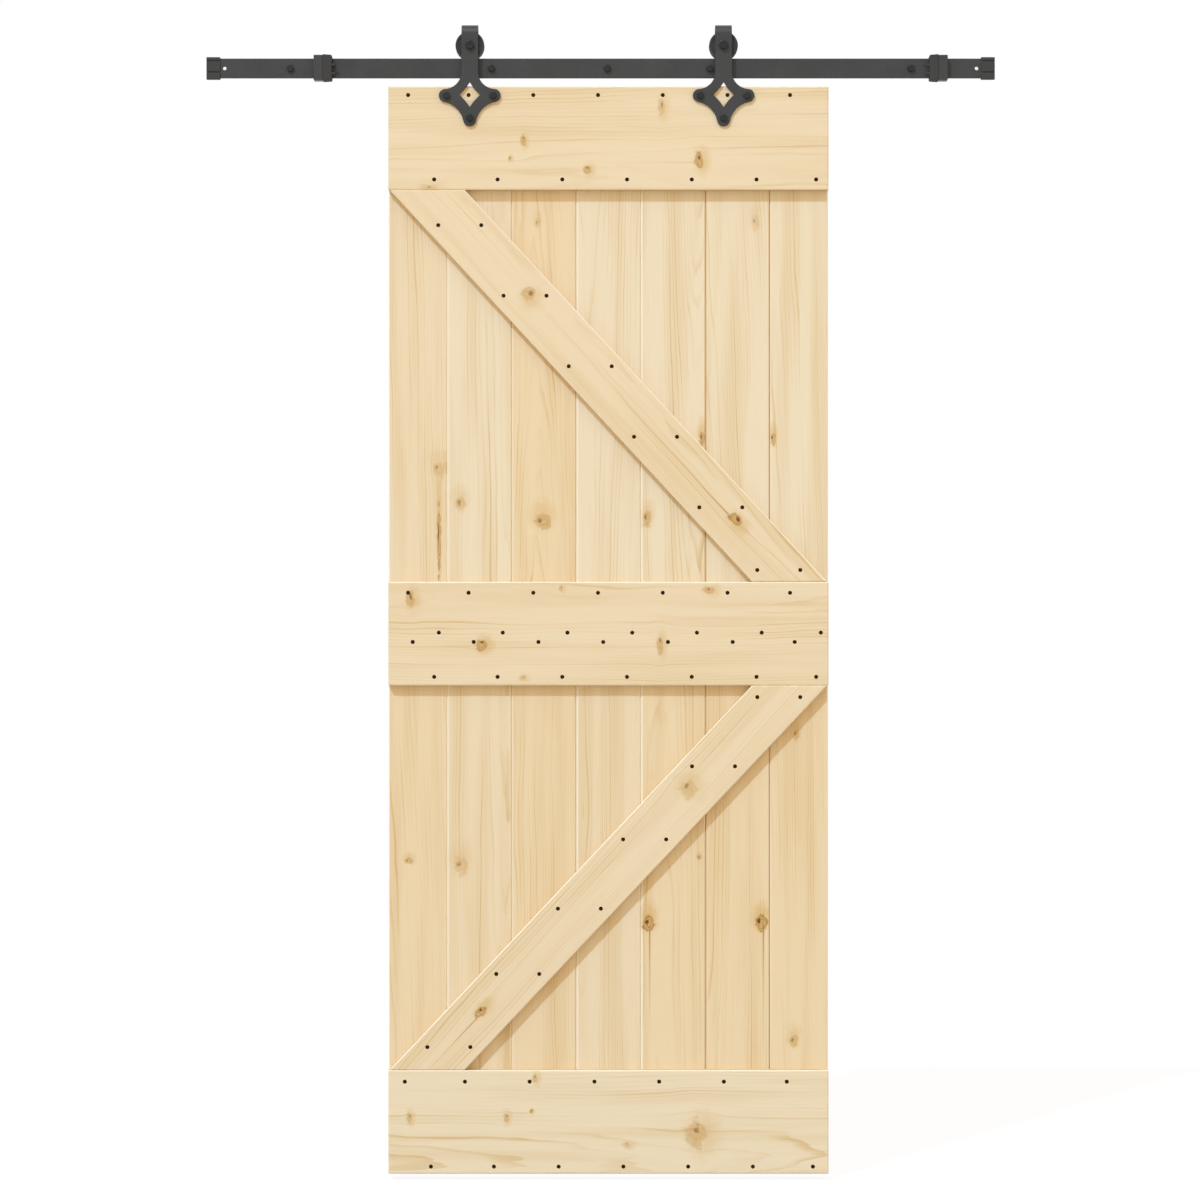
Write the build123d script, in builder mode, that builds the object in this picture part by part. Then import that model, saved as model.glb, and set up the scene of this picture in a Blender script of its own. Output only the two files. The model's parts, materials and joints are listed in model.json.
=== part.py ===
# A sliding barn door: a ledged and braced pine leaf that hangs on two wheels from a flat steel track.
# Lengths are in millimetres. X runs along the track, +Y points at the wall and +Z is up.
# The origin lies on the track's back face, at the middle of its length and of its height.
from build123d import *

import os
from math import sqrt

os.makedirs("parts", exist_ok=True)

# Track: a flat steel bar with one open hole near each end
track_length = 1518.0
track_height = 38.0
track_thickness = 6.0
track_edge_chamfer = 0.8
end_hole_diameter = 7.0
end_hole_inset = 32.0

# Wall fixings: coach screws through tube spacers
wall_gap = 38.0
spacer_diameter = 22.0
outer_fixing_inset = 159.0
inner_fixing_x = 211.0
middle_fixing_x = 13.0
wall_screw_reach = 45.0

# Coach screws of the wall and of the hangers
coach_screw_diameter = 8.0
coach_hole_clearance = 0.25
coach_across_flats = 13.0
coach_head_height = 5.3
hanger_screw_reach = 30.0

# All bolts and screws: shanks, spacers and the holes for them have this many sides
fixing_sides = 10
thread_clearance = 0.05
hex_edge_chamfer = 0.8

# End caps: moulded sleeves with two grip grooves in the front
cap_wall = 2.4
cap_end_wall = 3.0
cap_reach = 23.5
cap_clearance = 0.1
cap_groove_width = 1.8
cap_groove_depth = 1.0
cap_upper_groove_z = 13.6
cap_lower_groove_z = -8.2

# Stops: a steel clamp and a rubber buffer, both threaded onto the track
left_stop_inset = 240.0
right_stop_inset = 124.0
stop_width = 17.5
stop_front_wall = 14.0
stop_back_wall = 6.0
stop_clearance = 0.15
clamp_height = 48.6
clamp_edge_chamfer = 1.0
buffer_height = 51.0
buffer_corner_radius = 4.0
nub_height = 5.0
nub_depth = 4.4
nub_length = 7.0
nub_front_inset = 0.3
upper_nub_z = 5.0
lower_nub_z = -12.0
grub_screw_diameter = 6.0

# Wheels: grooved rollers, each on a bush that the axle bolt clamps between the strap's legs
left_hanger_inset = 157.4
right_hanger_inset = 202.6
wheel_diameter = 55.6
wheel_width = 22.0
tread_diameter = 47.4
tread_clearance = 0.3
groove_clearance = 0.8
bush_diameter = 16.0
bush_clearance = 0.05
axle_diameter = 10.0
axle_clearance = 0.1
axle_across_flats = 16.0
axle_head_height = 6.4
axle_nut_height = 8.0
axle_end_length = 2.0

# Hanger straps: flat bar bent over the wheel, with a three-armed foot plate
strap_width = 32.0
strap_thickness = 5.0
strap_gap = 25.0
strap_rise = 40.5
foot_drop = 97.3
lobe_reach = 47.0
lobe_radius = 12.5
foot_waist = 35.5
side_screw_reach = 45.0
bottom_screw_reach = 43.5
window_half_width = 20.4
window_half_height = 24.0
window_rise = 1.5
window_hollow = 1.2

# Leaf: tongued planks in two lengths, three ledges and two braces
door_width = 850.0
door_height = 2100.0
door_offset = 15.0
door_drop = 17.0
plank_count = 7
plank_width = 125.0
plank_thickness = 20.0
plank_chamfer = 2.0
plank_gap = 0.4
tongue_length = 6.0
tongue_thickness = 6.0
tongue_clearance = 0.2
ledge_height = 200.0
ledge_thickness = 18.0
ledge_chamfer = 2.0
middle_ledge_drop = 957.0
plank_joint_share = 0.535
brace_cut_width = 145.0
brace_side_inset = 2.5
brace_end_gap = 0.2

# Wood screws: faceted countersunk heads, driven in until they stand a little proud
screw_head_diameter = 9.2
screw_head_depth = 4.6
screw_head_sides = 6
screw_head_rise = 0.4
brace_screw_spread = 41.5
# Rows of screws: drop as a share of ledge height, offset from a plank's middle as a share of its width
top_screw_shares = [(0.085, -0.16), (0.90, 0.288)]
middle_screw_shares = [(0.105, -0.16), (0.49, 0.368), (0.58, -0.08), (0.917, 0.288)]
bottom_screw_shares = [(0.11, -0.216), (0.93, 0.232)]
# Pairs of screws down each brace, as shares of the brace's height from its top
upper_brace_shares = [0.09, 0.27, 0.45, 0.63, 0.81, 0.97]
lower_brace_shares = [0.03, 0.21, 0.40, 0.58, 0.75, 0.94]

# Depths, from the viewer to the wall
track_front_y = -track_thickness
wheel_y = -track_thickness / 2
strap_back_y = wheel_y - strap_gap / 2
strap_front_y = strap_back_y - strap_thickness
back_leg_y = wheel_y + strap_gap / 2
ledge_front_y = strap_back_y
plank_front_y = ledge_front_y + ledge_thickness
plank_back_y = plank_front_y + plank_thickness

# Heights
axle_z = track_height / 2 + tread_clearance + tread_diameter / 2
bend_radius = strap_gap / 2 + strap_thickness
bend_z = axle_z + strap_rise - bend_radius
foot_z = axle_z - foot_drop
door_top_z = -track_height / 2 - door_drop
door_bottom_z = door_top_z - door_height
middle_ledge_top_z = door_top_z - middle_ledge_drop
bottom_ledge_top_z = door_bottom_z + ledge_height
plank_joint_z = middle_ledge_top_z - plank_joint_share * ledge_height

# Places across the leaf
door_left_x = door_offset - door_width / 2
door_right_x = door_offset + door_width / 2
end_plank_width = (door_width - (plank_count - 2) * plank_width) / 2
plank_joints_x = [door_left_x + end_plank_width + i * plank_width for i in range(plank_count - 1)]
plank_edges_x = [door_left_x, *plank_joints_x, door_right_x]
plank_spans = list(zip(plank_edges_x, plank_edges_x[1:]))

# Places along the track
track_end_x = track_length / 2
outer_fixing_x = track_end_x - outer_fixing_inset
left_stop_x = left_stop_inset - track_end_x
right_stop_x = track_end_x - right_stop_inset
fixing_places_x = [-outer_fixing_x, -inner_fixing_x, middle_fixing_x, inner_fixing_x, outer_fixing_x]
fixing_points = [(x, 0) for x in fixing_places_x]
hanger_places = {"left": door_left_x + left_hanger_inset, "right": door_right_x - right_hanger_inset}
axle_points = [(x, axle_z) for x in hanger_places.values()]
coach_hole_radius = coach_screw_diameter / 2 + coach_hole_clearance
axle_hole_radius = axle_diameter / 2 + axle_clearance
foot_screw_offsets = [(-side_screw_reach, 0), (side_screw_reach, 0), (0, -bottom_screw_reach)]
foot_screw_points = [(x + dx, foot_z + dz) for x in hanger_places.values() for dx, dz in foot_screw_offsets]


def facing_front(y):
    """A plane at depth y that looks at the viewer, drawn in X and Z."""
    return Plane.XZ.offset(-y)


def across_track(x, y, z):
    """A plane across the track at a point, drawn in Y and Z."""
    return Plane(origin=(x, y, z), x_dir=(0, 1, 0), z_dir=(1, 0, 0))


def make_hex_bolts(points, front_y, across_flats, head_height, diameter, reach):
    """Bolts that face the viewer: chamfered hexagon heads on plain shanks."""
    with BuildPart() as bolts:
        with BuildSketch(facing_front(front_y)):
            with Locations(*points):
                RegularPolygon(across_flats / 2, 6, major_radius=False)
        extrude(amount=head_height)
        chamfer(bolts.faces().group_by(Axis.Y)[0].edges(), hex_edge_chamfer)
        with BuildSketch(facing_front(front_y)):
            with Locations(*points):
                RegularPolygon(diameter / 2, fixing_sides)
        extrude(amount=-reach)
    return bolts


def make_screw_heads(points):
    """Countersunk heads in the boards' front face, each a pyramid that points into the wood."""
    with BuildPart() as heads:
        for x, z in points:
            face_plane = Plane(origin=(x, ledge_front_y - screw_head_rise, z), z_dir=(0, -1, 0))
            with BuildSketch(face_plane, mode=Mode.PRIVATE) as head_face:
                RegularPolygon(screw_head_diameter / 2, screw_head_sides)
            loft([head_face.sketch.face(), Vertex(x, face_plane.origin.Y + screw_head_depth, z)])
    return heads


def ledge_screw_points(top_z, row_shares):
    """One screw to a plank in each row of a ledge."""
    points = []
    for drop_share, offset_share in row_shares:
        for left_x, right_x in plank_spans:
            screw_x = (left_x + right_x) / 2 + offset_share * (right_x - left_x)
            points.append((screw_x, top_z - drop_share * ledge_height))
    return points


def brace_screw_points(top_x, bottom_x, top_z, bottom_z, height_shares):
    """Pairs of screws beside the centre line of a brace."""
    points = []
    for share in height_shares:
        x = top_x + share * (bottom_x - top_x)
        z = top_z + share * (bottom_z - top_z)
        points.append((x - brace_screw_spread, z))
        points.append((x + brace_screw_spread, z))
    return points


# Track
with BuildPart() as track:
    with BuildSketch(facing_front(0)):
        Rectangle(track_length, track_height)
        with Locations(*fixing_points):
            RegularPolygon(coach_hole_radius, fixing_sides, mode=Mode.SUBTRACT)
        with GridLocations(track_length - 2 * end_hole_inset, 0, 2, 1):
            Circle(end_hole_diameter / 2, mode=Mode.SUBTRACT)
    extrude(amount=track_thickness)
    chamfer(track.edges().filter_by(Axis.X), track_edge_chamfer)
track.part.label = "track"
export_step(track.part, "parts/track.step")

# Tube spacers between the track and the wall
with BuildPart() as track_spacers:
    with BuildSketch(facing_front(wall_gap)):
        with Locations(*fixing_points):
            RegularPolygon(spacer_diameter / 2, fixing_sides)
            RegularPolygon(coach_hole_radius, fixing_sides, mode=Mode.SUBTRACT)
    extrude(amount=wall_gap)
track_spacers.part.label = "track_spacers"
export_step(track_spacers.part, "parts/track_spacers.step")

# Coach screws that hold the track to the wall
wall_screws = make_hex_bolts(
    fixing_points,
    track_front_y,
    coach_across_flats,
    coach_head_height,
    coach_screw_diameter,
    track_thickness + wall_gap + wall_screw_reach,
)
wall_screws.part.label = "wall_screws"
export_step(wall_screws.part, "parts/wall_screws.step")

# End caps pushed over the ends of the track
cap_height = track_height + 2 * (cap_clearance + cap_wall)
cap_depth = track_thickness + 2 * (cap_clearance + cap_wall)
cap_length = cap_reach + cap_end_wall
for side, sign in (("left", -1), ("right", 1)):
    cap_mouth_x = sign * (track_end_x - cap_reach)
    with BuildPart() as end_cap:
        with BuildSketch(across_track(cap_mouth_x, wheel_y, 0)):
            Rectangle(cap_depth, cap_height)
        extrude(amount=sign * cap_length)
        with BuildSketch(across_track(cap_mouth_x, wheel_y, 0)):
            Rectangle(track_thickness + 2 * cap_clearance, track_height + 2 * cap_clearance)
        extrude(amount=sign * cap_reach, mode=Mode.SUBTRACT)
        with BuildSketch(across_track(cap_mouth_x, wheel_y - cap_depth / 2, 0)):
            with Locations((0, cap_upper_groove_z), (0, cap_lower_groove_z)):
                Rectangle(2 * cap_groove_depth, cap_groove_width)
        extrude(amount=sign * cap_length, mode=Mode.SUBTRACT)
    end_cap.part.label = f"{side}_end_cap"
    export_step(end_cap.part, f"parts/{side}_end_cap.step")

# Stops: the buffer's nubs meet a hanger's strap, and the clamp stands behind the buffer
stop_depth = stop_front_wall + track_thickness + stop_back_wall
stop_y = stop_back_wall - stop_depth / 2
slot_depth = track_thickness + 2 * stop_clearance
slot_height = track_height + 2 * stop_clearance
nub_y = strap_front_y + nub_front_inset + nub_depth / 2
grub_screw_points = []
for side, face_x, sign in (("left", left_stop_x, -1), ("right", right_stop_x, 1)):
    clamp_face_x = face_x + sign * stop_width
    grub_screw_point = (clamp_face_x + sign * stop_width / 2, 0)
    grub_screw_points.append(grub_screw_point)

    with BuildPart() as stop_buffer:
        with BuildSketch(across_track(face_x, stop_y, 0)):
            Rectangle(stop_depth, buffer_height)
        extrude(amount=sign * stop_width)
        leaf_side = stop_buffer.faces().sort_by(Axis.X, reverse=sign < 0)[0]
        fillet(leaf_side.edges().filter_by(Axis.Y), buffer_corner_radius)
        with BuildSketch(across_track(face_x, wheel_y, 0)):
            Rectangle(slot_depth, slot_height)
        extrude(amount=sign * stop_width, mode=Mode.SUBTRACT)
        with BuildSketch(across_track(face_x, nub_y, 0)):
            with Locations((0, upper_nub_z), (0, lower_nub_z)):
                Rectangle(nub_depth, nub_height)
        extrude(amount=-sign * nub_length)
    stop_buffer.part.label = f"{side}_stop_buffer"
    export_step(stop_buffer.part, f"parts/{side}_stop_buffer.step")

    with BuildPart() as stop_clamp:
        with BuildSketch(across_track(clamp_face_x, stop_y, 0)):
            Rectangle(stop_depth, clamp_height)
        extrude(amount=sign * stop_width)
        chamfer(stop_clamp.edges().filter_by(Axis.X), clamp_edge_chamfer)
        with BuildSketch(across_track(clamp_face_x, wheel_y, 0)):
            Rectangle(slot_depth, slot_height)
        extrude(amount=sign * stop_width, mode=Mode.SUBTRACT)
        with BuildSketch(facing_front(stop_back_wall)):
            with Locations(grub_screw_point):
                RegularPolygon(grub_screw_diameter / 2 + thread_clearance, fixing_sides)
        extrude(amount=stop_back_wall, mode=Mode.SUBTRACT)
    stop_clamp.part.label = f"{side}_stop_clamp"
    export_step(stop_clamp.part, f"parts/{side}_stop_clamp.step")

# Grub screws, flush in the back of the clamps and tight on the track
with BuildPart() as stop_screws:
    with BuildSketch(facing_front(stop_back_wall)):
        with Locations(*grub_screw_points):
            RegularPolygon(grub_screw_diameter / 2, fixing_sides)
    extrude(amount=stop_back_wall)
stop_screws.part.label = "stop_screws"
export_step(stop_screws.part, "parts/stop_screws.step")

# Foot plate: three lobes joined by hollow arcs of one radius, which also flare up into the strap
lobe_diagonal = sqrt(2) * lobe_reach
hollow_radius = (lobe_reach**2 - lobe_diagonal * foot_waist + foot_waist**2 - lobe_radius**2) / (
    2 * lobe_radius + lobe_diagonal - 2 * foot_waist
)
side_lobe = Vector(lobe_reach, 0)
bottom_lobe = Vector(0, -lobe_reach)
lower_hollow = Vector(1, -1).normalized() * (hollow_radius + foot_waist)
flare_x = strap_width / 2 + hollow_radius
flare = Vector(flare_x, sqrt((hollow_radius + lobe_radius) ** 2 - (flare_x - lobe_reach) ** 2))
strap_corner = Vector(strap_width / 2, bend_z - foot_z)
flare_start = Vector(strap_width / 2, flare.Y)
flare_end = side_lobe + (flare - side_lobe).normalized() * lobe_radius
flare_middle = flare + (flare_start + flare_end - flare * 2).normalized() * hollow_radius
side_tip = Vector(lobe_reach + lobe_radius, 0)
hollow_start = side_lobe + (lower_hollow - side_lobe).normalized() * lobe_radius
hollow_middle = lower_hollow.normalized() * foot_waist
hollow_end = bottom_lobe + (lower_hollow - bottom_lobe).normalized() * lobe_radius
bottom_tip = Vector(0, -lobe_reach - lobe_radius)
window_tips = [
    (-window_half_width, window_rise),
    (0, window_rise + window_half_height),
    (window_half_width, window_rise),
    (0, window_rise - window_half_height),
]

# Hangers: foot plate, front leg, bend over the wheel and back leg in one bar
for side, place_x in hanger_places.items():
    with BuildPart() as hanger:
        with BuildSketch(Plane(origin=(place_x, strap_back_y, foot_z), x_dir=(1, 0, 0), z_dir=(0, -1, 0))):
            with BuildLine() as half_outline:
                Line((0, strap_corner.Y), strap_corner)
                Line(strap_corner, flare_start)
                ThreePointArc(flare_start, flare_middle, flare_end)
                ThreePointArc(flare_end, side_tip, hollow_start)
                ThreePointArc(hollow_start, hollow_middle, hollow_end)
                RadiusArc(hollow_end, bottom_tip, lobe_radius)
                mirror(half_outline.line, about=Plane.YZ)
            make_face()
            with BuildLine():
                for start, end in zip(window_tips, window_tips[1:] + window_tips[:1]):
                    SagittaArc(start, end, -window_hollow)
            make_face(mode=Mode.SUBTRACT)
            with Locations(*foot_screw_offsets):
                RegularPolygon(coach_hole_radius, fixing_sides, mode=Mode.SUBTRACT)
            with Locations((0, foot_drop)):
                RegularPolygon(axle_hole_radius, fixing_sides, mode=Mode.SUBTRACT)
        extrude(amount=strap_thickness)
        with BuildSketch(across_track(place_x, wheel_y, bend_z)):
            with BuildLine():
                outer_bend = CenterArc((0, 0), bend_radius, 0, 180)
                inner_bend = CenterArc((0, 0), strap_gap / 2, 0, 180)
                Line(outer_bend @ 0, inner_bend @ 0)
                Line(outer_bend @ 1, inner_bend @ 1)
            make_face()
        extrude(amount=strap_width / 2, both=True)
        with BuildSketch(Plane(origin=(place_x, back_leg_y, axle_z), x_dir=(1, 0, 0), z_dir=(0, -1, 0))):
            with Locations((0, (bend_z - axle_z) / 2)):
                Rectangle(strap_width, bend_z - axle_z)
            Circle(strap_width / 2)
            RegularPolygon(axle_hole_radius, fixing_sides, mode=Mode.SUBTRACT)
        extrude(amount=-strap_thickness)
    hanger.part.label = f"{side}_hanger"
    export_step(hanger.part, f"parts/{side}_hanger.step")

# Coach screws of the foot plates, driven through the ledge into the planks, and their pilot holes
hanger_screws = make_hex_bolts(
    foot_screw_points,
    strap_front_y,
    coach_across_flats,
    coach_head_height,
    coach_screw_diameter,
    strap_thickness + hanger_screw_reach,
)
hanger_screws.part.label = "hanger_screws"
export_step(hanger_screws.part, "parts/hanger_screws.step")

with BuildPart() as pilot_holes:
    with BuildSketch(facing_front(ledge_front_y)):
        with Locations(*foot_screw_points):
            RegularPolygon(coach_screw_diameter / 2 + thread_clearance, fixing_sides)
    extrude(amount=-hanger_screw_reach)

# Wheels: a flat-bottomed groove rides on the track's top edge
groove_half_width = track_thickness / 2 + groove_clearance
bore_radius = bush_diameter / 2 + bush_clearance
for side, place_x in hanger_places.items():
    with BuildPart() as wheel:
        with BuildSketch(across_track(place_x, wheel_y, axle_z)):
            with BuildLine():
                Polyline(
                    (-wheel_width / 2, bore_radius),
                    (-wheel_width / 2, wheel_diameter / 2),
                    (-groove_half_width, wheel_diameter / 2),
                    (-groove_half_width, tread_diameter / 2),
                    (groove_half_width, tread_diameter / 2),
                    (groove_half_width, wheel_diameter / 2),
                    (wheel_width / 2, wheel_diameter / 2),
                    (wheel_width / 2, bore_radius),
                    close=True,
                )
            make_face()
        revolve(axis=Axis((place_x, wheel_y, axle_z), (0, 1, 0)))
    wheel.part.label = f"{side}_wheel"
    export_step(wheel.part, f"parts/{side}_wheel.step")

# Bushes that the wheels turn on, as long as the gap between the legs
with BuildPart() as axle_bushes:
    with BuildSketch(facing_front(back_leg_y)):
        with Locations(*axle_points):
            Circle(bush_diameter / 2)
            RegularPolygon(axle_hole_radius, fixing_sides, mode=Mode.SUBTRACT)
    extrude(amount=strap_gap)
axle_bushes.part.label = "axle_bushes"
export_step(axle_bushes.part, "parts/axle_bushes.step")

# Axle bolts through strap, bush and strap, with their nuts behind
axle_nut_y = back_leg_y + strap_thickness
axle_bolts = make_hex_bolts(
    axle_points,
    strap_front_y,
    axle_across_flats,
    axle_head_height,
    axle_diameter,
    2 * strap_thickness + strap_gap + axle_nut_height + axle_end_length,
)
axle_bolts.part.label = "axle_bolts"
export_step(axle_bolts.part, "parts/axle_bolts.step")

with BuildPart() as axle_nuts:
    with BuildSketch(facing_front(axle_nut_y)):
        with Locations(*axle_points):
            RegularPolygon(axle_across_flats / 2, 6, major_radius=False)
            RegularPolygon(axle_diameter / 2 + thread_clearance, fixing_sides, mode=Mode.SUBTRACT)
    extrude(amount=-axle_nut_height)
axle_nuts.part.label = "axle_nuts"
export_step(axle_nuts.part, "parts/axle_nuts.step")

# Planks: tongue on the right edge, groove on the left, chamfered long edges
tongue_y = (plank_front_y + plank_back_y) / 2
plank_rows = {
    "upper": (plank_joint_z + plank_gap / 2, door_top_z),
    "lower": (door_bottom_z, plank_joint_z - plank_gap / 2),
}
for number, (left_x, right_x) in enumerate(plank_spans, start=1):
    board_left_x = left_x if number == 1 else left_x + plank_gap / 2
    board_right_x = right_x if number == plank_count else right_x - plank_gap / 2
    for row, (low_z, high_z) in plank_rows.items():
        with BuildPart() as plank:
            with BuildSketch(Plane.XY.offset(low_z)) as section:
                with Locations(((board_left_x + board_right_x) / 2, tongue_y)):
                    Rectangle(board_right_x - board_left_x, plank_thickness)
                chamfer(section.vertices(), plank_chamfer)
                if number < plank_count:
                    with Locations((board_right_x, tongue_y)):
                        Rectangle(2 * tongue_length, tongue_thickness)
                if number > 1:
                    with Locations((board_left_x, tongue_y)):
                        Rectangle(
                            2 * (tongue_length + tongue_clearance),
                            tongue_thickness + 2 * tongue_clearance,
                            mode=Mode.SUBTRACT,
                        )
            extrude(amount=high_z - low_z)
            add(pilot_holes.part, mode=Mode.SUBTRACT)
        plank.part.label = f"{row}_plank_{number}"
        export_step(plank.part, f"parts/{row}_plank_{number}.step")

# Ledges across the planks, with a screw to each plank in every row
ledges = {
    "top_ledge": (door_top_z, top_screw_shares),
    "middle_ledge": (middle_ledge_top_z, middle_screw_shares),
    "bottom_ledge": (bottom_ledge_top_z, bottom_screw_shares),
}
for name, (top_z, row_shares) in ledges.items():
    with BuildPart() as ledge:
        with BuildSketch(facing_front(plank_front_y)):
            with Locations((door_offset, top_z - ledge_height / 2)):
                Rectangle(door_width, ledge_height)
        extrude(amount=ledge_thickness)
        chamfer(ledge.faces().sort_by(Axis.Y)[0].edges(), ledge_chamfer)
        add(pilot_holes.part, mode=Mode.SUBTRACT)
    ledge.part.label = name
    export_step(ledge.part, f"parts/{name}.step")

    ledge_screws = make_screw_heads(ledge_screw_points(top_z, row_shares))
    ledge_screws.part.label = f"{name}_screws"
    export_step(ledge_screws.part, f"parts/{name}_screws.step")

# Braces: the upper one falls to the right, the lower one back to the left
brace_left_x = door_left_x + brace_side_inset + brace_cut_width / 2
brace_right_x = door_right_x - brace_side_inset - brace_cut_width / 2
upper_brace_z = (door_top_z - ledge_height - brace_end_gap, middle_ledge_top_z + brace_end_gap)
lower_brace_z = (middle_ledge_top_z - ledge_height - brace_end_gap, bottom_ledge_top_z + brace_end_gap)
braces = {
    "upper_brace": (brace_left_x, brace_right_x, *upper_brace_z, upper_brace_shares),
    "lower_brace": (brace_right_x, brace_left_x, *lower_brace_z, lower_brace_shares),
}
for name, (top_x, bottom_x, top_z, bottom_z, height_shares) in braces.items():
    with BuildPart() as brace:
        with BuildSketch(facing_front(plank_front_y)):
            with BuildLine():
                Polyline(
                    (top_x - brace_cut_width / 2, top_z),
                    (top_x + brace_cut_width / 2, top_z),
                    (bottom_x + brace_cut_width / 2, bottom_z),
                    (bottom_x - brace_cut_width / 2, bottom_z),
                    close=True,
                )
            make_face()
        extrude(amount=ledge_thickness)
        chamfer(brace.faces().sort_by(Axis.Y)[0].edges(), ledge_chamfer)
    brace.part.label = name
    export_step(brace.part, f"parts/{name}.step")

    brace_screws = make_screw_heads(brace_screw_points(top_x, bottom_x, top_z, bottom_z, height_shares))
    brace_screws.part.label = f"{name}_screws"
    export_step(brace_screws.part, f"parts/{name}_screws.step")
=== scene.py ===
# %% [markdown]
# # A sliding barn door in pine
# The door is a leaf of upright planks, held flat by three ledges and two diagonal braces.
# It hangs from a flat steel track by two straps that are bent over grooved wheels.
# The CAD model already has every board and fitting at its true size, so this lesson dresses it:
# the boards get a solid pine texture, and the fittings get rounded edges, round shanks and threads.

import json
import math

import bpy
import numpy as np
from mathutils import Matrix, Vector


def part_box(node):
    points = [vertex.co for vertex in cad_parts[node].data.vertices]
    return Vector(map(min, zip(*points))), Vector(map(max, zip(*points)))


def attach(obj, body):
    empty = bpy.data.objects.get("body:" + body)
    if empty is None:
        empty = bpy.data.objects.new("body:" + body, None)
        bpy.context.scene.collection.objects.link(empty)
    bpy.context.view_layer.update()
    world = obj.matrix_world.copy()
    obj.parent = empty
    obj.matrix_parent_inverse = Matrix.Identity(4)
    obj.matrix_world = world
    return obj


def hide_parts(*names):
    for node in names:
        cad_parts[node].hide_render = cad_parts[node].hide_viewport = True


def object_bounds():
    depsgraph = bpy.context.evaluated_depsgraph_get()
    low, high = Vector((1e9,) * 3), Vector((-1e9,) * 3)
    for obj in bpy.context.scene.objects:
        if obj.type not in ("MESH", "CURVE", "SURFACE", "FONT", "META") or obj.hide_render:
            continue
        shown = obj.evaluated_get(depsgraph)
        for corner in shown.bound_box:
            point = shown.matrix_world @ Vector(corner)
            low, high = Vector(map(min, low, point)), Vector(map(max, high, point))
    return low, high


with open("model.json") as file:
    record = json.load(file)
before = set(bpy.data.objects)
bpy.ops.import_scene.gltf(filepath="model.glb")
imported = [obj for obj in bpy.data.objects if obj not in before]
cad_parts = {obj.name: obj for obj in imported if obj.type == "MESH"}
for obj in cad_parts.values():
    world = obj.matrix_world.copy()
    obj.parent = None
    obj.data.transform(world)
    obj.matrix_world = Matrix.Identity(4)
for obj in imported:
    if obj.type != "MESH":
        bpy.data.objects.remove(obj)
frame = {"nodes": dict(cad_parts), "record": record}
cad_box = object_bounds()
nodes = frame["nodes"]
body_of = {node: body for body, members in frame["record"]["behaviour"]["bodies"].items() for node in members}
slot_of = {part["node"]: part["material_slot"] for part in frame["record"]["subparts"]}
print("CAD nodes:", len(nodes), "box:", [tuple(round(v, 4) for v in corner) for corner in cad_box])

# %% [markdown]
# ## The camera
# The photograph is a catalogue picture, taken square on from well back, so that the track hides its own spacers.
# The picture is square, and at the front of the ledges it is a little over 2.3 metres wide.
# A camera that looks straight along +Y, level with the middle of the picture, gives that view with no lens shift.

# %% Place the camera
PICTURE_WIDTH = 2.317
PICTURE_MIDDLE = (-0.0012, -1.0280)
CAMERA_DISTANCE = 7.0
SENSOR_WIDTH = 36.0

ledge_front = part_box("middle_ledge")[0].y
lens = bpy.data.cameras.new("catalogue_camera")
lens.sensor_width = SENSOR_WIDTH
lens.lens = SENSOR_WIDTH * CAMERA_DISTANCE / PICTURE_WIDTH
camera = bpy.data.objects.new("catalogue_camera", lens)
camera.location = (PICTURE_MIDDLE[0], ledge_front - CAMERA_DISTANCE, PICTURE_MIDDLE[1])
camera.rotation_euler = (math.radians(90), 0, 0)
bpy.context.scene.collection.objects.link(camera)
bpy.context.scene.camera = camera
print("focal length:", round(lens.lens, 2), "mm")

# %% [markdown]
# ## Small tools for surfaces
# Every new piece here is a grid of points: rows go along one parameter and columns go round another.
# The grid is worked out as whole arrays, and one helper joins neighbouring points with quads.
# A second helper puts the grid into a mesh, merges the points that meet at seams and poles,
# and turns all faces outwards.

# %% Join a grid with quads
def grid_quads(rows, columns, wrap_rows=False):
    """Quads of a grid whose columns close into a ring.

    Point (r, c) is joined to (r, c + 1), (r + 1, c + 1) and (r + 1, c), and column numbers count round.
    With wrap_rows the last row is joined to the first as well, which gives a closed ring-shaped surface.
    """
    row, column = np.meshgrid(np.arange(rows if wrap_rows else rows - 1), np.arange(columns), indexing="ij")
    next_row, next_column = (row + 1) % rows, (column + 1) % columns
    corners = [row * columns + column, row * columns + next_column,
               next_row * columns + next_column, next_row * columns + column]
    return np.stack(corners, axis=-1).reshape(-1, 4)


def gather(grids):
    """Several point grids as one list of points and one list of quads; each grid is (points, wrap_rows)."""
    points, quads, count = [], [], 0
    for grid, wrap_rows in grids:
        rows, columns = grid.shape[:2]
        points.append(grid.reshape(-1, 3))
        quads.append(grid_quads(rows, columns, wrap_rows) + count)
        count += rows * columns
    return np.concatenate(points), np.concatenate(quads)


# %% Turn grids into a piece of the door
import bmesh

MERGE_DISTANCE = 1e-6
SMOOTH_ANGLE = math.radians(38)


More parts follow.
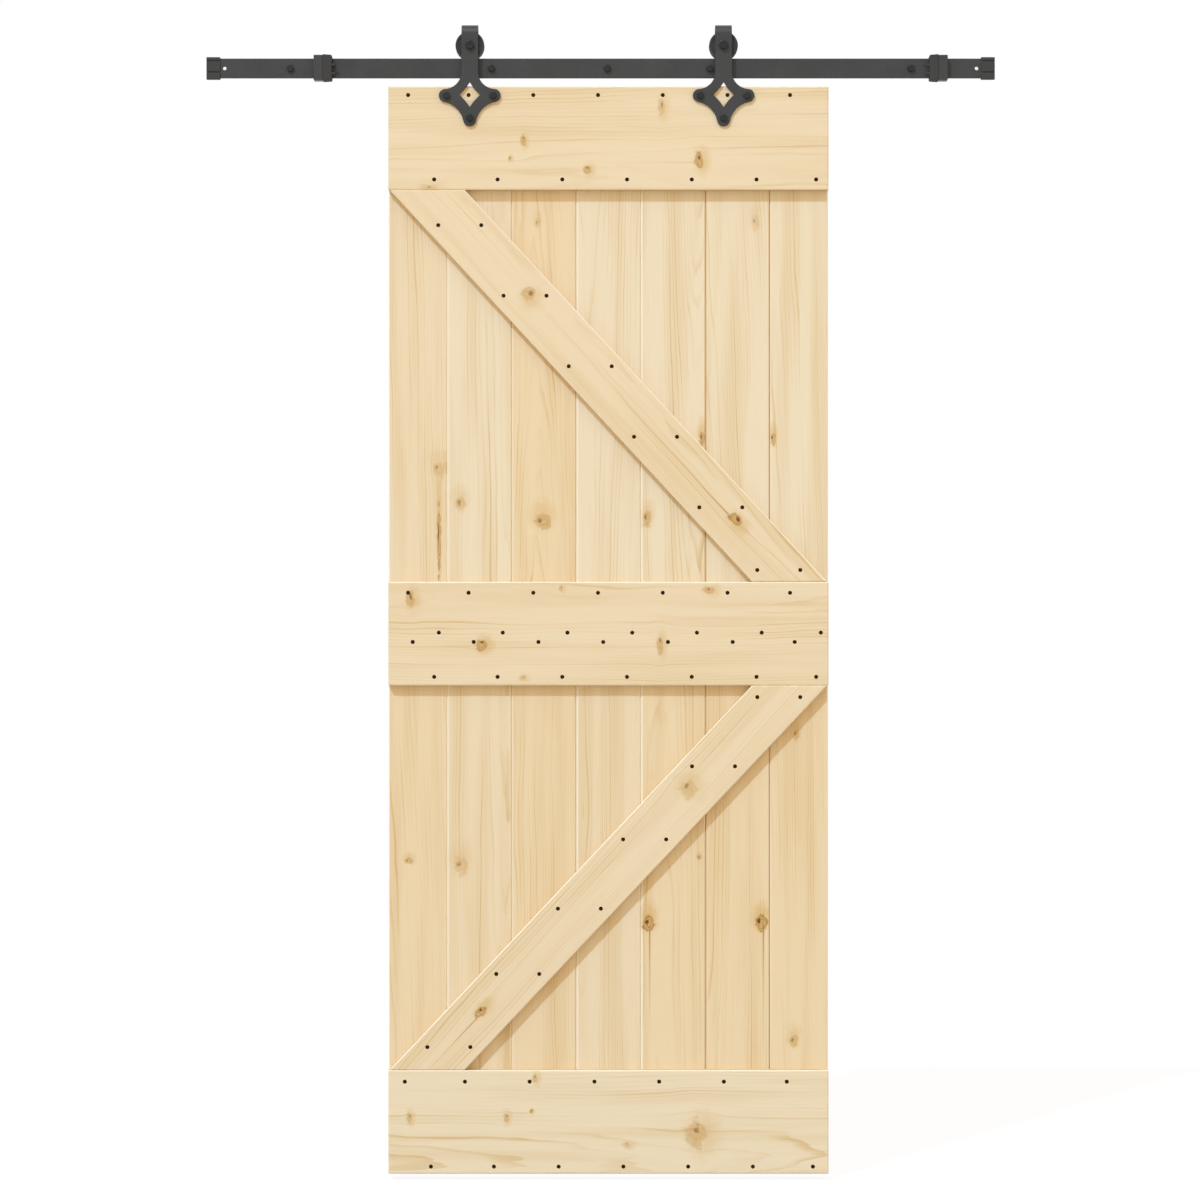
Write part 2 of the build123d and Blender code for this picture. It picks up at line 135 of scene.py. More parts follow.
def dress(node, grids, material):
    """A piece made of grids that stands for a CAD node: it has the node's body and the given finish, and hides the
    node.
    """
    points, quads = gather(grids)
    mesh = bpy.data.meshes.new(f"{node}_dressed")
    mesh.from_pydata(points, [], quads)
    shell = bmesh.new()
    shell.from_mesh(mesh)
    bmesh.ops.remove_doubles(shell, verts=shell.verts, dist=MERGE_DISTANCE)
    bmesh.ops.dissolve_degenerate(shell, edges=shell.edges, dist=MERGE_DISTANCE)
    bmesh.ops.recalc_face_normals(shell, faces=shell.faces)
    shell.to_mesh(mesh)
    shell.free()
    mesh.shade_smooth()
    mesh.set_sharp_from_angle(angle=SMOOTH_ANGLE)
    mesh.materials.append(material)
    piece = bpy.data.objects.new(f"{node}_dressed", mesh)
    bpy.context.scene.collection.objects.link(piece)
    crisp = piece.modifiers.new("flat_faces_stay_flat", "WEIGHTED_NORMAL")
    crisp.keep_sharp = True
    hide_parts(node)
    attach(piece, body_of[node])
    print(f"{piece.name}: {len(mesh.polygons)} faces")
    return piece


# %% Find the separate solids of a node
def solid_boxes(node):
    """Lowest and highest corner of each separate solid in a node, ordered along X.

    Corners that share a place get one number, and each triangle hands the lowest number of its corners
    to the others until nothing changes: what is left is one number for each solid.
    """
    mesh = nodes[node].data
    places = np.empty(len(mesh.vertices) * 3)
    mesh.vertices.foreach_get("co", places)
    places, number = np.unique(places.reshape(-1, 3).round(6), axis=0, return_inverse=True)
    loops = np.empty(len(mesh.loops), int)
    mesh.loops.foreach_get("vertex_index", loops)
    triangles = number.ravel()[loops].reshape(-1, 3)
    label = np.arange(len(places))
    while True:
        lowest = label[triangles].min(axis=1)
        spread = label.copy()
        np.minimum.at(spread, triangles.ravel(), np.repeat(lowest, 3))
        if np.array_equal(spread, label):
            break
        label = spread
    boxes = [(places[label == n].min(axis=0), places[label == n].max(axis=0)) for n in np.unique(label)]
    return sorted(boxes, key=lambda box: tuple(box[0]))


print("wood screws in the top ledge:", len(solid_boxes("top_ledge_screws")))

# %% [markdown]
# ## Small tools for finishes
# A finish is a tree of shader nodes. A small pen keeps the trees readable: each stroke adds one node,
# wires its inputs and hands back its output, so a formula reads from top to bottom.
# Colours are written as display values from 0 to 255 and turned into the linear values that shaders take.

# %% Colours and the pen
def srgb(red, green, blue):
    """A display colour as a linear one: the low end is a straight line, the rest a power of 2.4."""
    share = np.array([red, green, blue]) / 255
    linear = np.where(share <= 0.04045, share / 12.92, ((share + 0.055) / 1.055) ** 2.4)
    return (*linear, 1.0)


# Factor, first and second colour, and the result, in the mix node's colour mode
COLOUR_MIX_INPUTS, COLOUR_MIX_OUTPUT = (0, 6, 7), 2
# Noise swings about a half, in its value and in each part of its colour
NOISE_MIDDLE, NOISE_MIDDLES = 0.5, (0.5, 0.5, 0.5)


class Pen:
    """Draws a node tree; inputs may be numbers, colours or the sockets that earlier strokes gave back."""

    def __init__(self, tree):
        self.tree = tree

    def wire(self, socket, value):
        if isinstance(value, bpy.types.NodeSocket):
            self.tree.links.new(value, socket)
        else:
            socket.default_value = value

    def add(self, kind, inputs=None, **settings):
        node = self.tree.nodes.new(kind)
        for name, value in settings.items():
            setattr(node, name, value)
        for socket, value in (inputs or {}).items():
            self.wire(node.inputs[socket], value)
        return node

    def math(self, operation, *values):
        return self.add("ShaderNodeMath", dict(enumerate(values)), operation=operation).outputs[0]

    def vector(self, operation, *values):
        node = self.add("ShaderNodeVectorMath", dict(enumerate(values)), operation=operation)
        return node.outputs["Value" if operation in ("LENGTH", "DOT_PRODUCT") else "Vector"]

    def join(self, x, y, z):
        return self.add("ShaderNodeCombineXYZ", {"X": x, "Y": y, "Z": z}).outputs[0]

    def split(self, place):
        return self.add("ShaderNodeSeparateXYZ", {"Vector": place}).outputs

    def noise(self, place, detail=2.0, roughness=0.5, output="Fac"):
        inputs = {"Vector": place, "Scale": 1.0, "Detail": detail, "Roughness": roughness}
        return self.add("ShaderNodeTexNoise", inputs).outputs[output]

    def ease(self, value, low, high, to_low=0.0, to_high=1.0):
        inputs = {"Value": value, "From Min": low, "From Max": high, "To Min": to_low, "To Max": to_high}
        return self.add("ShaderNodeMapRange", inputs, interpolation_type="SMOOTHSTEP").outputs[0]

    def away(self, value, middle):
        return self.math("ABSOLUTE", self.math("SUBTRACT", value, middle))

    def blend(self, share, first, second):
        inputs = dict(zip(COLOUR_MIX_INPUTS, (share, first, second)))
        return self.add("ShaderNodeMix", inputs, data_type="RGBA").outputs[COLOUR_MIX_OUTPUT]

    def bump(self, height, strength, distance):
        inputs = {"Height": height, "Strength": strength, "Distance": distance}
        return self.add("ShaderNodeBump", inputs).outputs[0]


def new_finish(name, **constants):
    """A material with one Principled shader; constants are set on the shader's own sockets."""
    material = bpy.data.materials.new(name)
    material.use_nodes = True
    shader = material.node_tree.nodes["Principled BSDF"]
    for socket, value in constants.items():
        shader.inputs[socket.replace("_", " ")].default_value = value
    return material, shader, Pen(material.node_tree)


# %% [markdown]
# ## Knots
# A knot is the foot of a branch, cut across. The grain parts and flows round it, a honey-coloured stain surrounds it,
# and its heart is dark and often cracked. A dark knot also leaves a streak of resin along the grain below it.
# Flow round an obstacle is a good formula for the grain: a line beside the knot is pushed outwards,
# by a share that falls off with the square of the distance. One node group does this for one knot,
# and a board chains as many copies as it has knots.

# %% What a knot looks like
KNOT_SOCKETS = ("Grain", "Halo", "Body", "Heart")
# Noise scales are per metre, and places and reaches are in knot sizes.
# A reach says where a mask begins and where it is full
SWIRL_SCALE, SWIRL = (60.0, 60.0, 20.0), (1.2, 1.2, 0.0)
RAGGED_SCALE, RAGGED = (90.0, 120.0, 40.0), 0.9
PUSH, PUSH_FALL = 0.92, 1.4
HALO_AT, HALO_RAGGED, HALO_REACH = (0.7, 0.0, 0.0), 0.8, (3.0, 0.8)
BODY_REACH = (1.30, 0.45)
RIM_AT, RIM_REACH = 0.86, (0.20, 0.03)
CRACK_AT, CRACK_REACH = 0.50, (0.13, 0.02)
LINE_DARKNESS, LINE_SHARE = (0.4, 1.0), (0.10, 0.50)
HOLE_AT, HOLE_REACH = (0.15, 0.38, 0.0), (0.40, 0.16)
# The streak of resin, in metres from the knot's centre
RESIN_AT, RESIN_REACH = -0.003, (0.0021, 0.0005)
RESIN_TAIL, RESIN_TOP, RESIN_DARKNESS = (-0.26, -0.01), (0.0, -0.010), (0.80, 0.95)
RESIN_CORE_TAIL, RESIN_CORE = (-0.11, -0.01), (0.0, 0.34)


# %% Draw the knot group
def draw_knot_group():
    """Grain coordinates and three stain masks go in; bent and darkened by one knot, they come out.

    With d the way from the knot's centre and q its length in knot sizes, after a swirl of noise, the grain's
    across coordinate becomes v - PUSH d_v / (1 + PUSH_FALL q^2). More noise makes q ragged, and the masks are
    soft steps of it: a halo moved up the grain, the body, and a heart of one hole, a rim and a crack.
    The streak is a soft line on the straight grain below the knot.
    """
    group = bpy.data.node_groups.new("pine_knot", "ShaderNodeTree")
    chained = [(name, "Vector" if name == "Grain" else "Float") for name in KNOT_SOCKETS]
    own = [("Centre", "Vector"), ("Reach", "Vector"), ("Darkness", "Float")]
    for in_out, sockets in (("INPUT", chained + own), ("OUTPUT", chained)):
        for name, kind in sockets:
            group.interface.new_socket(name, in_out=in_out, socket_type=f"NodeSocket{kind}")
    pen = Pen(group)
    entry = group.nodes.new("NodeGroupInput").outputs
    grain, darkness = entry["Grain"], entry["Darkness"]

    straight = pen.vector("SUBTRACT", grain, entry["Centre"])
    swirl = pen.noise(pen.vector("MULTIPLY", grain, SWIRL_SCALE), output="Color")
    swirl = pen.vector("MULTIPLY", pen.vector("SUBTRACT", swirl, NOISE_MIDDLES), SWIRL)
    scaled = pen.vector("MULTIPLY_ADD", straight, entry["Reach"], swirl)
    distance = pen.vector("LENGTH", scaled)
    spread = pen.math("MULTIPLY_ADD", pen.math("MULTIPLY", distance, distance), PUSH_FALL, 1.0)
    push = pen.math("DIVIDE", PUSH, spread)
    aside = pen.vector("MULTIPLY", straight, (0.0, 1.0, 0.0))
    bent = pen.vector("SUBTRACT", grain, pen.vector("MULTIPLY", aside, pen.join(push, push, push)))

    rough = pen.noise(pen.vector("MULTIPLY", grain, RAGGED_SCALE))
    ragged = pen.math("MULTIPLY_ADD", pen.math("SUBTRACT", rough, NOISE_MIDDLE), RAGGED, distance)
    from_halo, from_hole = (pen.vector("LENGTH", pen.vector("SUBTRACT", scaled, at)) for at in (HALO_AT, HOLE_AT))
    halo = pen.ease(pen.math("MULTIPLY_ADD", rough, HALO_RAGGED, from_halo), *HALO_REACH)
    body = pen.ease(ragged, *BODY_REACH)
    rim = pen.ease(pen.away(ragged, RIM_AT), *RIM_REACH)
    crack = pen.ease(pen.away(ragged, CRACK_AT), *CRACK_REACH)
    lines = pen.math("MULTIPLY", pen.math("ADD", rim, crack), pen.ease(darkness, *LINE_DARKNESS, *LINE_SHARE))
    heart = pen.math("MAXIMUM", pen.ease(from_hole, *HOLE_REACH), lines)

    lengthwise, sideways, _ = pen.split(straight)
    resin = pen.ease(pen.away(sideways, RESIN_AT), *RESIN_REACH)
    for value, reach in ((lengthwise, RESIN_TAIL), (lengthwise, RESIN_TOP), (darkness, RESIN_DARKNESS)):
        resin = pen.math("MULTIPLY", resin, pen.ease(value, *reach))
    core = pen.math("MULTIPLY", resin, pen.ease(lengthwise, *RESIN_CORE_TAIL, *RESIN_CORE))
    body, heart = pen.math("MAXIMUM", body, resin), pen.math("MAXIMUM", heart, core)

    leave = group.nodes.new("NodeGroupOutput").inputs
    pen.wire(leave["Grain"], bent)
    for name, mask in zip(KNOT_SOCKETS[1:], (halo, body, heart)):
        pen.wire(leave[name], pen.math("MAXIMUM", entry[name], pen.math("MULTIPLY", mask, darkness)))
    return group


knot_group = draw_knot_group()
print("knot group nodes:", len(knot_group.nodes))

# %% [markdown]
# ## Pine
# A board is a slice of a trunk, so its figure is a slice through growth rings. The texture works in the same way:
# the distance from the trunk's pith, which lies behind the board and drifts a little along it, is cut into rings.
# Each ring is pale early wood that darkens slowly into a thin line of late wood and then stops short.
# Long soft streaks, fine fibres and the knots come on top.
# Ends and edges show the same rings, because the texture is solid.
# Most long chamfers get a painted highlight and those of plank_6 a painted shade, sawn sides get a darker tone that is
# partly painted shade, and end grain has a tone of its own; the way a surface faces tells them apart.

# %% Bend the grain round a board's knots
MM_PER_METRE = 1000


def chain_knots(pen, grain, knots, middle, along, across):
    """The grain after each knot in turn has bent it, and the halo, body and heart masks that they leave.

    knots are (x, z, reach along the grain, reach across it) in millimetres, and a darkness from 0 to 1.
    """
    chain = [grain, 0.0, 0.0, 0.0]
    for x, z, reach_along, reach_across, darkness in knots:
        centre = np.array([x, 0.0, z]) / MM_PER_METRE - middle
        inputs = dict(zip(KNOT_SOCKETS, chain))
        inputs["Centre"] = (centre @ along, centre @ across, 0.0)
        inputs["Reach"] = (MM_PER_METRE / reach_along, MM_PER_METRE / reach_across, 0.0)
        inputs["Darkness"] = darkness
        knot = pen.add("ShaderNodeGroup", inputs, node_tree=knot_group)
        chain = [knot.outputs[name] for name in KNOT_SOCKETS]
    return chain


# %% Cut the trunk into growth rings
PITH_ASIDE, PITH_BEHIND, RING_WIDTH = (0.02, 0.11), (0.04, 0.10), (0.0036, 0.0060)
DRIFT_ASIDE, DRIFT_BEHIND, NOISE_ROOM = 0.02, 0.03, 50
WANDERS = (((1.3, 9.0, 9.0), (0.0, 0.030, 0.030)), ((5.0, 45.0, 45.0), (0.0, 0.0062, 0.0062)))
LATE_WOOD_RISE, LATE_WOOD_STOP, FAINTEST_LINE = (0.60, 0.94), (1.0, 0.95), 0.15
FADE_SCALE, FADE_STEP = (2.4, 26.0, 26.0), (0.36, 0.66)


def grain_noise(pen, grain, scale, own, **settings):
    """Noise stretched along the grain, read at a place of the board's own."""
    return pen.noise(pen.vector("MULTIPLY_ADD", grain, scale, own), **settings)


def growth_rings(pen, grain, run, random):
    """The share of late wood at each point, and the board's own place in the noise.

    The distance from the pith, with a slow bend and a fine ripple, is counted in ring widths. Within a ring, late wood
    is a soft step up and a sharp one down. Each ring has its own strength, and noise fades the lines here and there.
    """
    pith = (0.0, random.choice([-1, 1]) * random.uniform(*PITH_ASIDE), random.uniform(*PITH_BEHIND))
    drift = (0.0, random.uniform(-DRIFT_ASIDE, DRIFT_ASIDE), random.uniform(-DRIFT_BEHIND, DRIFT_BEHIND))
    own = tuple(random.uniform(0, NOISE_ROOM, 3))
    turn = pen.vector("SUBTRACT", pen.vector("MULTIPLY", grain, (0.0, 1.0, 1.0)), pith)
    turn = pen.vector("MULTIPLY_ADD", pen.join(run, run, run), drift, turn)
    for scale, reach in WANDERS:
        wander = grain_noise(pen, grain, scale, own, output="Color")
        turn = pen.vector("MULTIPLY_ADD", pen.vector("SUBTRACT", wander, NOISE_MIDDLES), reach, turn)
    ring = pen.math("DIVIDE", pen.vector("LENGTH", turn), float(random.uniform(*RING_WIDTH)))
    phase = pen.math("FRACT", ring)
    late_wood = pen.math("MULTIPLY", pen.ease(phase, *LATE_WOOD_RISE), pen.ease(phase, *LATE_WOOD_STOP))
    strength = pen.add("ShaderNodeTexWhiteNoise", {"W": pen.math("FLOOR", ring)}, noise_dimensions="1D").outputs[0]
    fade = grain_noise(pen, grain, FADE_SCALE, own)
    for value, step in ((strength, (0.0, 1.0)), (fade, FADE_STEP)):
        late_wood = pen.math("MULTIPLY", late_wood, pen.ease(value, *step, FAINTEST_LINE, 1.0))
    return late_wood, own


# %% Tell edges, ends and sides from faces
CHAMFER_SUM, CHAMFER_ENDS, FLAT_PART = (1.15, 1.35), (0.45, 0.15), (0.8, 0.95)
INTO_BOARD = (0.0, 1.0, 0.0)


def edge_masks(pen, along, across):
    """Masks of a board's long chamfers, its end grain and its sides.

    The normal has parts along the grain, across it and into the board. A flat face has one of them, so their sum is 1,
    and on a chamfer the sum is larger. A long chamfer has no part along the grain.
    """
    facing = pen.add("ShaderNodeTexCoord").outputs["Normal"]
    endwise, sidewise, frontwise = (pen.math("ABSOLUTE", pen.vector("DOT_PRODUCT", facing, tuple(way)))
                                    for way in (along, across, INTO_BOARD))
    total = pen.math("ADD", pen.math("ADD", endwise, sidewise), frontwise)
    chamfer = pen.math("MULTIPLY", pen.ease(total, *CHAMFER_SUM), pen.ease(endwise, *CHAMFER_ENDS))
    return chamfer, pen.ease(endwise, *FLAT_PART), pen.ease(sidewise, *FLAT_PART)


# %% Draw a board's finish
PALE_PINE, PLAIN_PINE, WARM_PINE = (239, 221, 185), (238, 217, 178), (238, 214, 171)
EARLY_WOOD_SHARE, LATE_WOOD_SHARE = np.array([1.05, 1.07, 1.11]), np.array([0.83, 0.69, 0.43])
LATE_WOOD_WEIGHT, STREAK_WEIGHT, FIBRE_WEIGHT, END_WEIGHT = 0.72, 0.30, 0.26, 0.40
STREAK_SCALE, STREAK_STEP, FIBRE_SCALE = (1.6, 30.0, 20.0), (0.38, 0.70), (16.0, 900.0, 900.0)
# Painted light on the long chamfers: a pale painted highlight, and a darker painted shade for the chamfers that should
# look dark
PAINTED_EDGE_HIGHLIGHT, SHADED_EDGE, PAINTED_EDGE_STRENGTH = srgb(253, 240, 210), srgb(208, 166, 106), 0.9
# Sawn sides are darker: partly their own sawn tone, partly painted shade where ledges and braces meet the planks
SAWN_SIDE_SHADE, SIDE_SHADE_STRENGTH = srgb(192, 152, 98), 0.55
# Width of a strip of painted highlight along a plank's left edge
JOINT_HIGHLIGHT_STEP = (0.0052, 0.0028)
KNOT_TONES = ((0.75, srgb(222, 184, 116)), (0.85, srgb(212, 166, 88)), (1.0, srgb(108, 54, 0)))
PINE_GLOSS, PINE_ROUGHNESS = 0.28, (0.52, 0.70)
LINE_RELIEF, GRAIN_BUMP, GRAIN_DEPTH = 0.6, 0.35, 0.0003


def pine(name, grain_angle, middle, shade, seed, knots, chamfer_light, joint_highlight=None, shade_sides=False):
    """One board's pine: late wood, streaks, fibres and end grain add up to a figure between two tones of wood,
    and edges, sawn sides and knots are laid over it. The grain runs at grain_angle from +X in the board's face.

    The chamfer tone is painted light on the long chamfers: a painted highlight on most boards, a painted shade on
    plank_6.
    The edge strip, (x, strength), is a painted highlight along one edge of a plank.
    """
    random = np.random.default_rng(seed)
    along = np.array([math.cos(grain_angle), 0.0, math.sin(grain_angle)])
    across = np.array([-math.sin(grain_angle), 0.0, math.cos(grain_angle)])
    tone = np.array(srgb(*shade)[:3])
    early, late = (*(tone * EARLY_WOOD_SHARE), 1.0), (*(tone * LATE_WOOD_SHARE), 1.0)
    material, shader, pen = new_finish(name, Specular_IOR_Level=PINE_GLOSS)

    point = pen.add("ShaderNodeTexCoord").outputs["Object"]
    run, side = (pen.math("SUBTRACT", pen.vector("DOT_PRODUCT", point, tuple(way)), float(middle @ way))
                 for way in (along, across))
    grain = pen.join(run, side, pen.vector("DOT_PRODUCT", point, INTO_BOARD))
    grain, *knot_masks = chain_knots(pen, grain, knots, middle, along, across)
    late_wood, own = growth_rings(pen, grain, run, random)
    streak = pen.ease(grain_noise(pen, grain, STREAK_SCALE, own, detail=4.0), *STREAK_STEP)
    fibre = grain_noise(pen, grain, FIBRE_SCALE, own)
    chamfer, end_grain, side_faces = edge_masks(pen, along, across)

    figure = pen.math("MULTIPLY", late_wood, LATE_WOOD_WEIGHT)
    fibre_swing = pen.math("SUBTRACT", fibre, NOISE_MIDDLE)
    for part, weight in ((streak, STREAK_WEIGHT), (fibre_swing, FIBRE_WEIGHT), (end_grain, END_WEIGHT)):
        figure = pen.math("MULTIPLY_ADD", part, weight, figure)
    # Painted light: the chamfer tone is a painted highlight on most boards and a painted shade on plank_6, and the edge
    # strip is a painted highlight
    layers = [(chamfer, PAINTED_EDGE_STRENGTH, chamfer_light)]
    # Darker sawn sides on ledges and braces, partly sawn tone and partly painted shade
    if shade_sides:
        layers.append((side_faces, SIDE_SHADE_STRENGTH, SAWN_SIDE_SHADE))
    if joint_highlight:
        from_edge = pen.math("SUBTRACT", pen.vector("DOT_PRODUCT", point, (1.0, 0.0, 0.0)), joint_highlight[0])
        layers.append((pen.ease(from_edge, *JOINT_HIGHLIGHT_STEP), joint_highlight[1], PAINTED_EDGE_HIGHLIGHT))
    if knots:
        layers += [(mask, *laid) for mask, laid in zip(knot_masks, KNOT_TONES)]
    colour = pen.blend(figure, early, late)
    for mask, strength, layer_tone in layers:
        colour = pen.blend(pen.math("MULTIPLY", mask, strength), colour, layer_tone)
    pen.wire(shader.inputs["Base Color"], colour)
    pen.wire(shader.inputs["Roughness"], pen.ease(figure, 0.0, 1.0, *PINE_ROUGHNESS))
    relief = pen.math("MULTIPLY_ADD", late_wood, LINE_RELIEF, fibre)
    pen.wire(shader.inputs["Normal"], pen.bump(relief, GRAIN_BUMP, GRAIN_DEPTH))
    return material


# %% [markdown]
# ## The boards
# Each board gets a finish of its own, as no two boards come from the same place in a trunk.
# The grain runs up the planks, along the ledges and along the slope of the braces.
# Knots are placed where the photograph shows them, as a carpenter would note them on a cutting list.

# %% List the knots
KNOTS = {
    "top_ledge": [(-150, -141, 5, 10, 0.7), (-175, -174, 3, 4, 0.7), (-26, -197, 7, 8, 0.7),
                  (190, -180, 9, 15, 0.85), (117, -77, 7, 16, 0.5), (-333, -232, 14, 8, 0.35)],
    "middle_ledge": [(-368, -1027, 8, 15, 0.65), (-231, -1114, 10, 11, 0.85), (115, -1114, 6, 17, 0.65),
                     (206, -1010, 11, 7, 0.65), (-77, -1006, 5, 6, 0.5), (-150, -1178, 7, 5, 0.45)],
    "bottom_ledge": [(-370, -2028, 5, 10, 0.6), (-183, -2028, 5, 9, 0.6), (-134, -2016, 3, 4, 0.85),
                     (-127, -1952, 5, 9, 0.55), (51, -2080, 8, 6, 0.4), (184, -2060, 20, 26, 0.55)],
    "upper_brace": [(-140, -438, 13, 14, 0.6), (260, -873, 14, 9, 0.9)],
    "lower_brace": [(169, -1394, 16, 17, 0.5), (-231, -1823, 14, 8, 0.9)],
    "upper_plank_1": [(-312, -774, 16, 13, 0.45), (-313, -915, 70, 3.5, 0.85)],
    "upper_plank_2": [(-271, -842, 14, 10, 0.5)],
    "upper_plank_3": [(-112, -876, 17, 14, 0.65), (-122, -298, 10, 5, 0.45)],
    "upper_plank_5": [(90, -872, 15, 9, 0.6), (196, -716, 16, 5, 0.8)],
    "upper_plank_6": [(300, -298, 16, 7, 0.35)],
    "upper_plank_7": [(334, -716, 12, 5, 0.75)],
    "lower_plank_1": [(-371, -1533, 7, 8, 0.65)],
    "lower_plank_2": [(-270, -1542, 20, 12, 0.45)],
    "lower_plank_5": [(92, -1653, 17, 11, 0.95), (191, -1526, 4, 4, 0.75)],
    "lower_plank_6": [(312, -1653, 16, 11, 0.95)],
    "lower_plank_7": [(378, -1290, 10, 6, 0.65), (374, -1881, 13, 8, 0.6)],
}
print("knots:", sum(len(knots) for knots in KNOTS.values()))

# %% Finish the boards
PALE_BOARDS = {"upper_plank_2", "upper_plank_4", "upper_plank_5", "upper_plank_6", "upper_plank_7", "bottom_ledge"}
WARM_BOARDS = {"upper_plank_3", "lower_plank_1", "lower_plank_3", "lower_plank_5", "lower_plank_6", "lower_plank_7"}
# Strength of the painted highlight along each plank's left edge, and the painted light on some planks' chamfers
PAINTED_JOINT_HIGHLIGHTS = {"plank_2": 0.8, "plank_3": 0.35, "plank_4": 1.0, "plank_5": 1.0}
CHAMFER_LIGHT_BY_PLANK = {"plank_3": srgb(*PLAIN_PINE), "plank_6": SHADED_EDGE}
BRACE_CUT_WIDTH = 0.145
FIRST_SEED = 11


def grain_angle_of(board):
    """Upright on planks, level on ledges, and on a brace the slope of its own long edges."""
    if "plank" in board:
        return math.pi / 2
    if "ledge" in board:
        return 0.0
    low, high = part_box(board)
    slope = math.atan2(high.z - low.z, high.x - low.x - BRACE_CUT_WIDTH)
    return -slope if board == "upper_brace" else slope


def coat(node, material):
    """Give a CAD node that keeps its own shape one finish."""
    nodes[node].data.materials.clear()
    nodes[node].data.materials.append(material)


boards = sorted(node for node in nodes if slot_of[node].endswith("_pine"))
for seed, board in enumerate(boards, start=FIRST_SEED):
    low, high = (np.array(corner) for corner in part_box(board))
    shade = PALE_PINE if board in PALE_BOARDS else WARM_PINE if board in WARM_BOARDS else PLAIN_PINE
    column = board.removeprefix("upper_").removeprefix("lower_")
    strength = PAINTED_JOINT_HIGHLIGHTS.get(column)
    finish = pine(f"pine_{board}", grain_angle_of(board), (low + high) / 2 * (1, 0, 1), shade, seed,
                  KNOTS.get(board, []), CHAMFER_LIGHT_BY_PLANK.get(column, PAINTED_EDGE_HIGHLIGHT),
                  joint_highlight=(low[0], strength) if strength else None, shade_sides="plank" not in board)
    coat(board, finish)
print("boards finished:", len(boards))

# %% [markdown]
# ## Coated steel, black fixings, rubber and plastic
# The track and hangers are powder coated: a dark grey skin with a very fine orange-peel texture
# and faint clouds of tone. Fixings are blackened steel, a little darker.
# Buffers are rubber, with a dull bloom, and caps are moulded plastic.
# One recipe covers them all: a colour that varies between two tones, a roughness that follows it and a fine bump.

# %% Draw the fittings' finishes
CLOUD_SCALE, CLOUD_WEIGHT, SPECK_WEIGHT, TONE_STEP = 16.0, 0.4, 0.6, (0.32, 0.68)
ROUGHNESS_SWING, SPECK_BUMP = 0.07, 0.25


def fitting_finish(name, dark, light, roughness, grain_size, bump_depth, gloss=0.22, metallic=0.0):
    """Clouds 60 mm across and specks of grain_size metres mix two tones; the specks also make the bump."""
    material, shader, pen = new_finish(name, Metallic=metallic, Specular_IOR_Level=gloss)
    point = pen.add("ShaderNodeTexCoord").outputs["Object"]
    clouds = pen.noise(pen.vector("MULTIPLY", point, (CLOUD_SCALE,) * 3), detail=3.0)
    specks = pen.noise(pen.vector("MULTIPLY", point, (1 / grain_size,) * 3), detail=1.0)
    tone = pen.math("MULTIPLY_ADD", specks, SPECK_WEIGHT, pen.math("MULTIPLY", clouds, CLOUD_WEIGHT))
    share = pen.ease(tone, *TONE_STEP)
    rough = pen.ease(share, 0.0, 1.0, roughness - ROUGHNESS_SWING, roughness + ROUGHNESS_SWING)
    pen.wire(shader.inputs["Base Color"], pen.blend(share, srgb(*dark), srgb(*light)))
    pen.wire(shader.inputs["Roughness"], rough)
    pen.wire(shader.inputs["Normal"], pen.bump(specks, SPECK_BUMP, bump_depth))
    return material


coated_steel = fitting_finish("coated_steel", (48, 48, 48), (59, 59, 59), 0.44, 0.0011, 0.00008, gloss=0.45)
black_fixing = fitting_finish("black_fixing", (36, 36, 37), (48, 48, 48), 0.46, 0.0008, 0.00004)
wheel_steel = fitting_finish("wheel_steel", (54, 54, 53), (64, 64, 63), 0.45, 0.0009, 0.00006)
buffer_rubber = fitting_finish("buffer_rubber", (58, 58, 58), (68, 68, 67), 0.70, 0.0007, 0.00005)
cap_plastic = fitting_finish("cap_plastic", (58, 58, 58), (68, 68, 68), 0.55, 0.0006, 0.00004)
bush_steel = fitting_finish("bush_steel", (150, 150, 148), (176, 176, 172), 0.30, 0.0005, 0.00002, metallic=1.0)
screw_brown = fitting_finish("screw_brown", (42, 23, 10), (60, 35, 17), 0.45, 0.0006, 0.00004, gloss=0.06)

for node, finish in (("track", coated_steel), ("stop_screws", black_fixing), ("axle_bushes", bush_steel)):
    coat(node, finish)
print("finishes so far:", len(bpy.data.materials))

# %% [markdown]
# ## Plates with a hole, and turned pieces
# A foot plate, a stop, a nut and a spacer are one kind of shape: an outline with a window,
# given depth and softened edges.
# The surface is a closed ring, so it is one grid. Its columns go round the outline,
# and its rows go once round the section: across the front, over a quarter-round edge, down the wall,
# back across the rear and home through the window.
# Wheels and shanks are turned: a profile is carried round an axis.

# %% Ring plates and lathes
EDGE_STEPS = 4
TURN_COLUMNS = 48


def edge_curve(edge):
    """Inset and depth along a quarter-round edge: edge (1 - cos t) inside its line, edge (1 - sin t) below its face."""
    turn = np.linspace(0, math.pi / 2, EDGE_STEPS)
    return edge * (1 - np.cos(turn)), edge * (1 - np.sin(turn))


def at_depths(line, out, insets, depths):
    """Rows of a line, each moved in against its out vectors by an inset and put at a depth."""
    flat = line[None] - out[None] * np.asarray(insets)[:, None, None]
    depth = np.broadcast_to(np.asarray(depths)[:, None, None], (*flat.shape[:2], 1))
    return np.concatenate([flat, depth], axis=2)


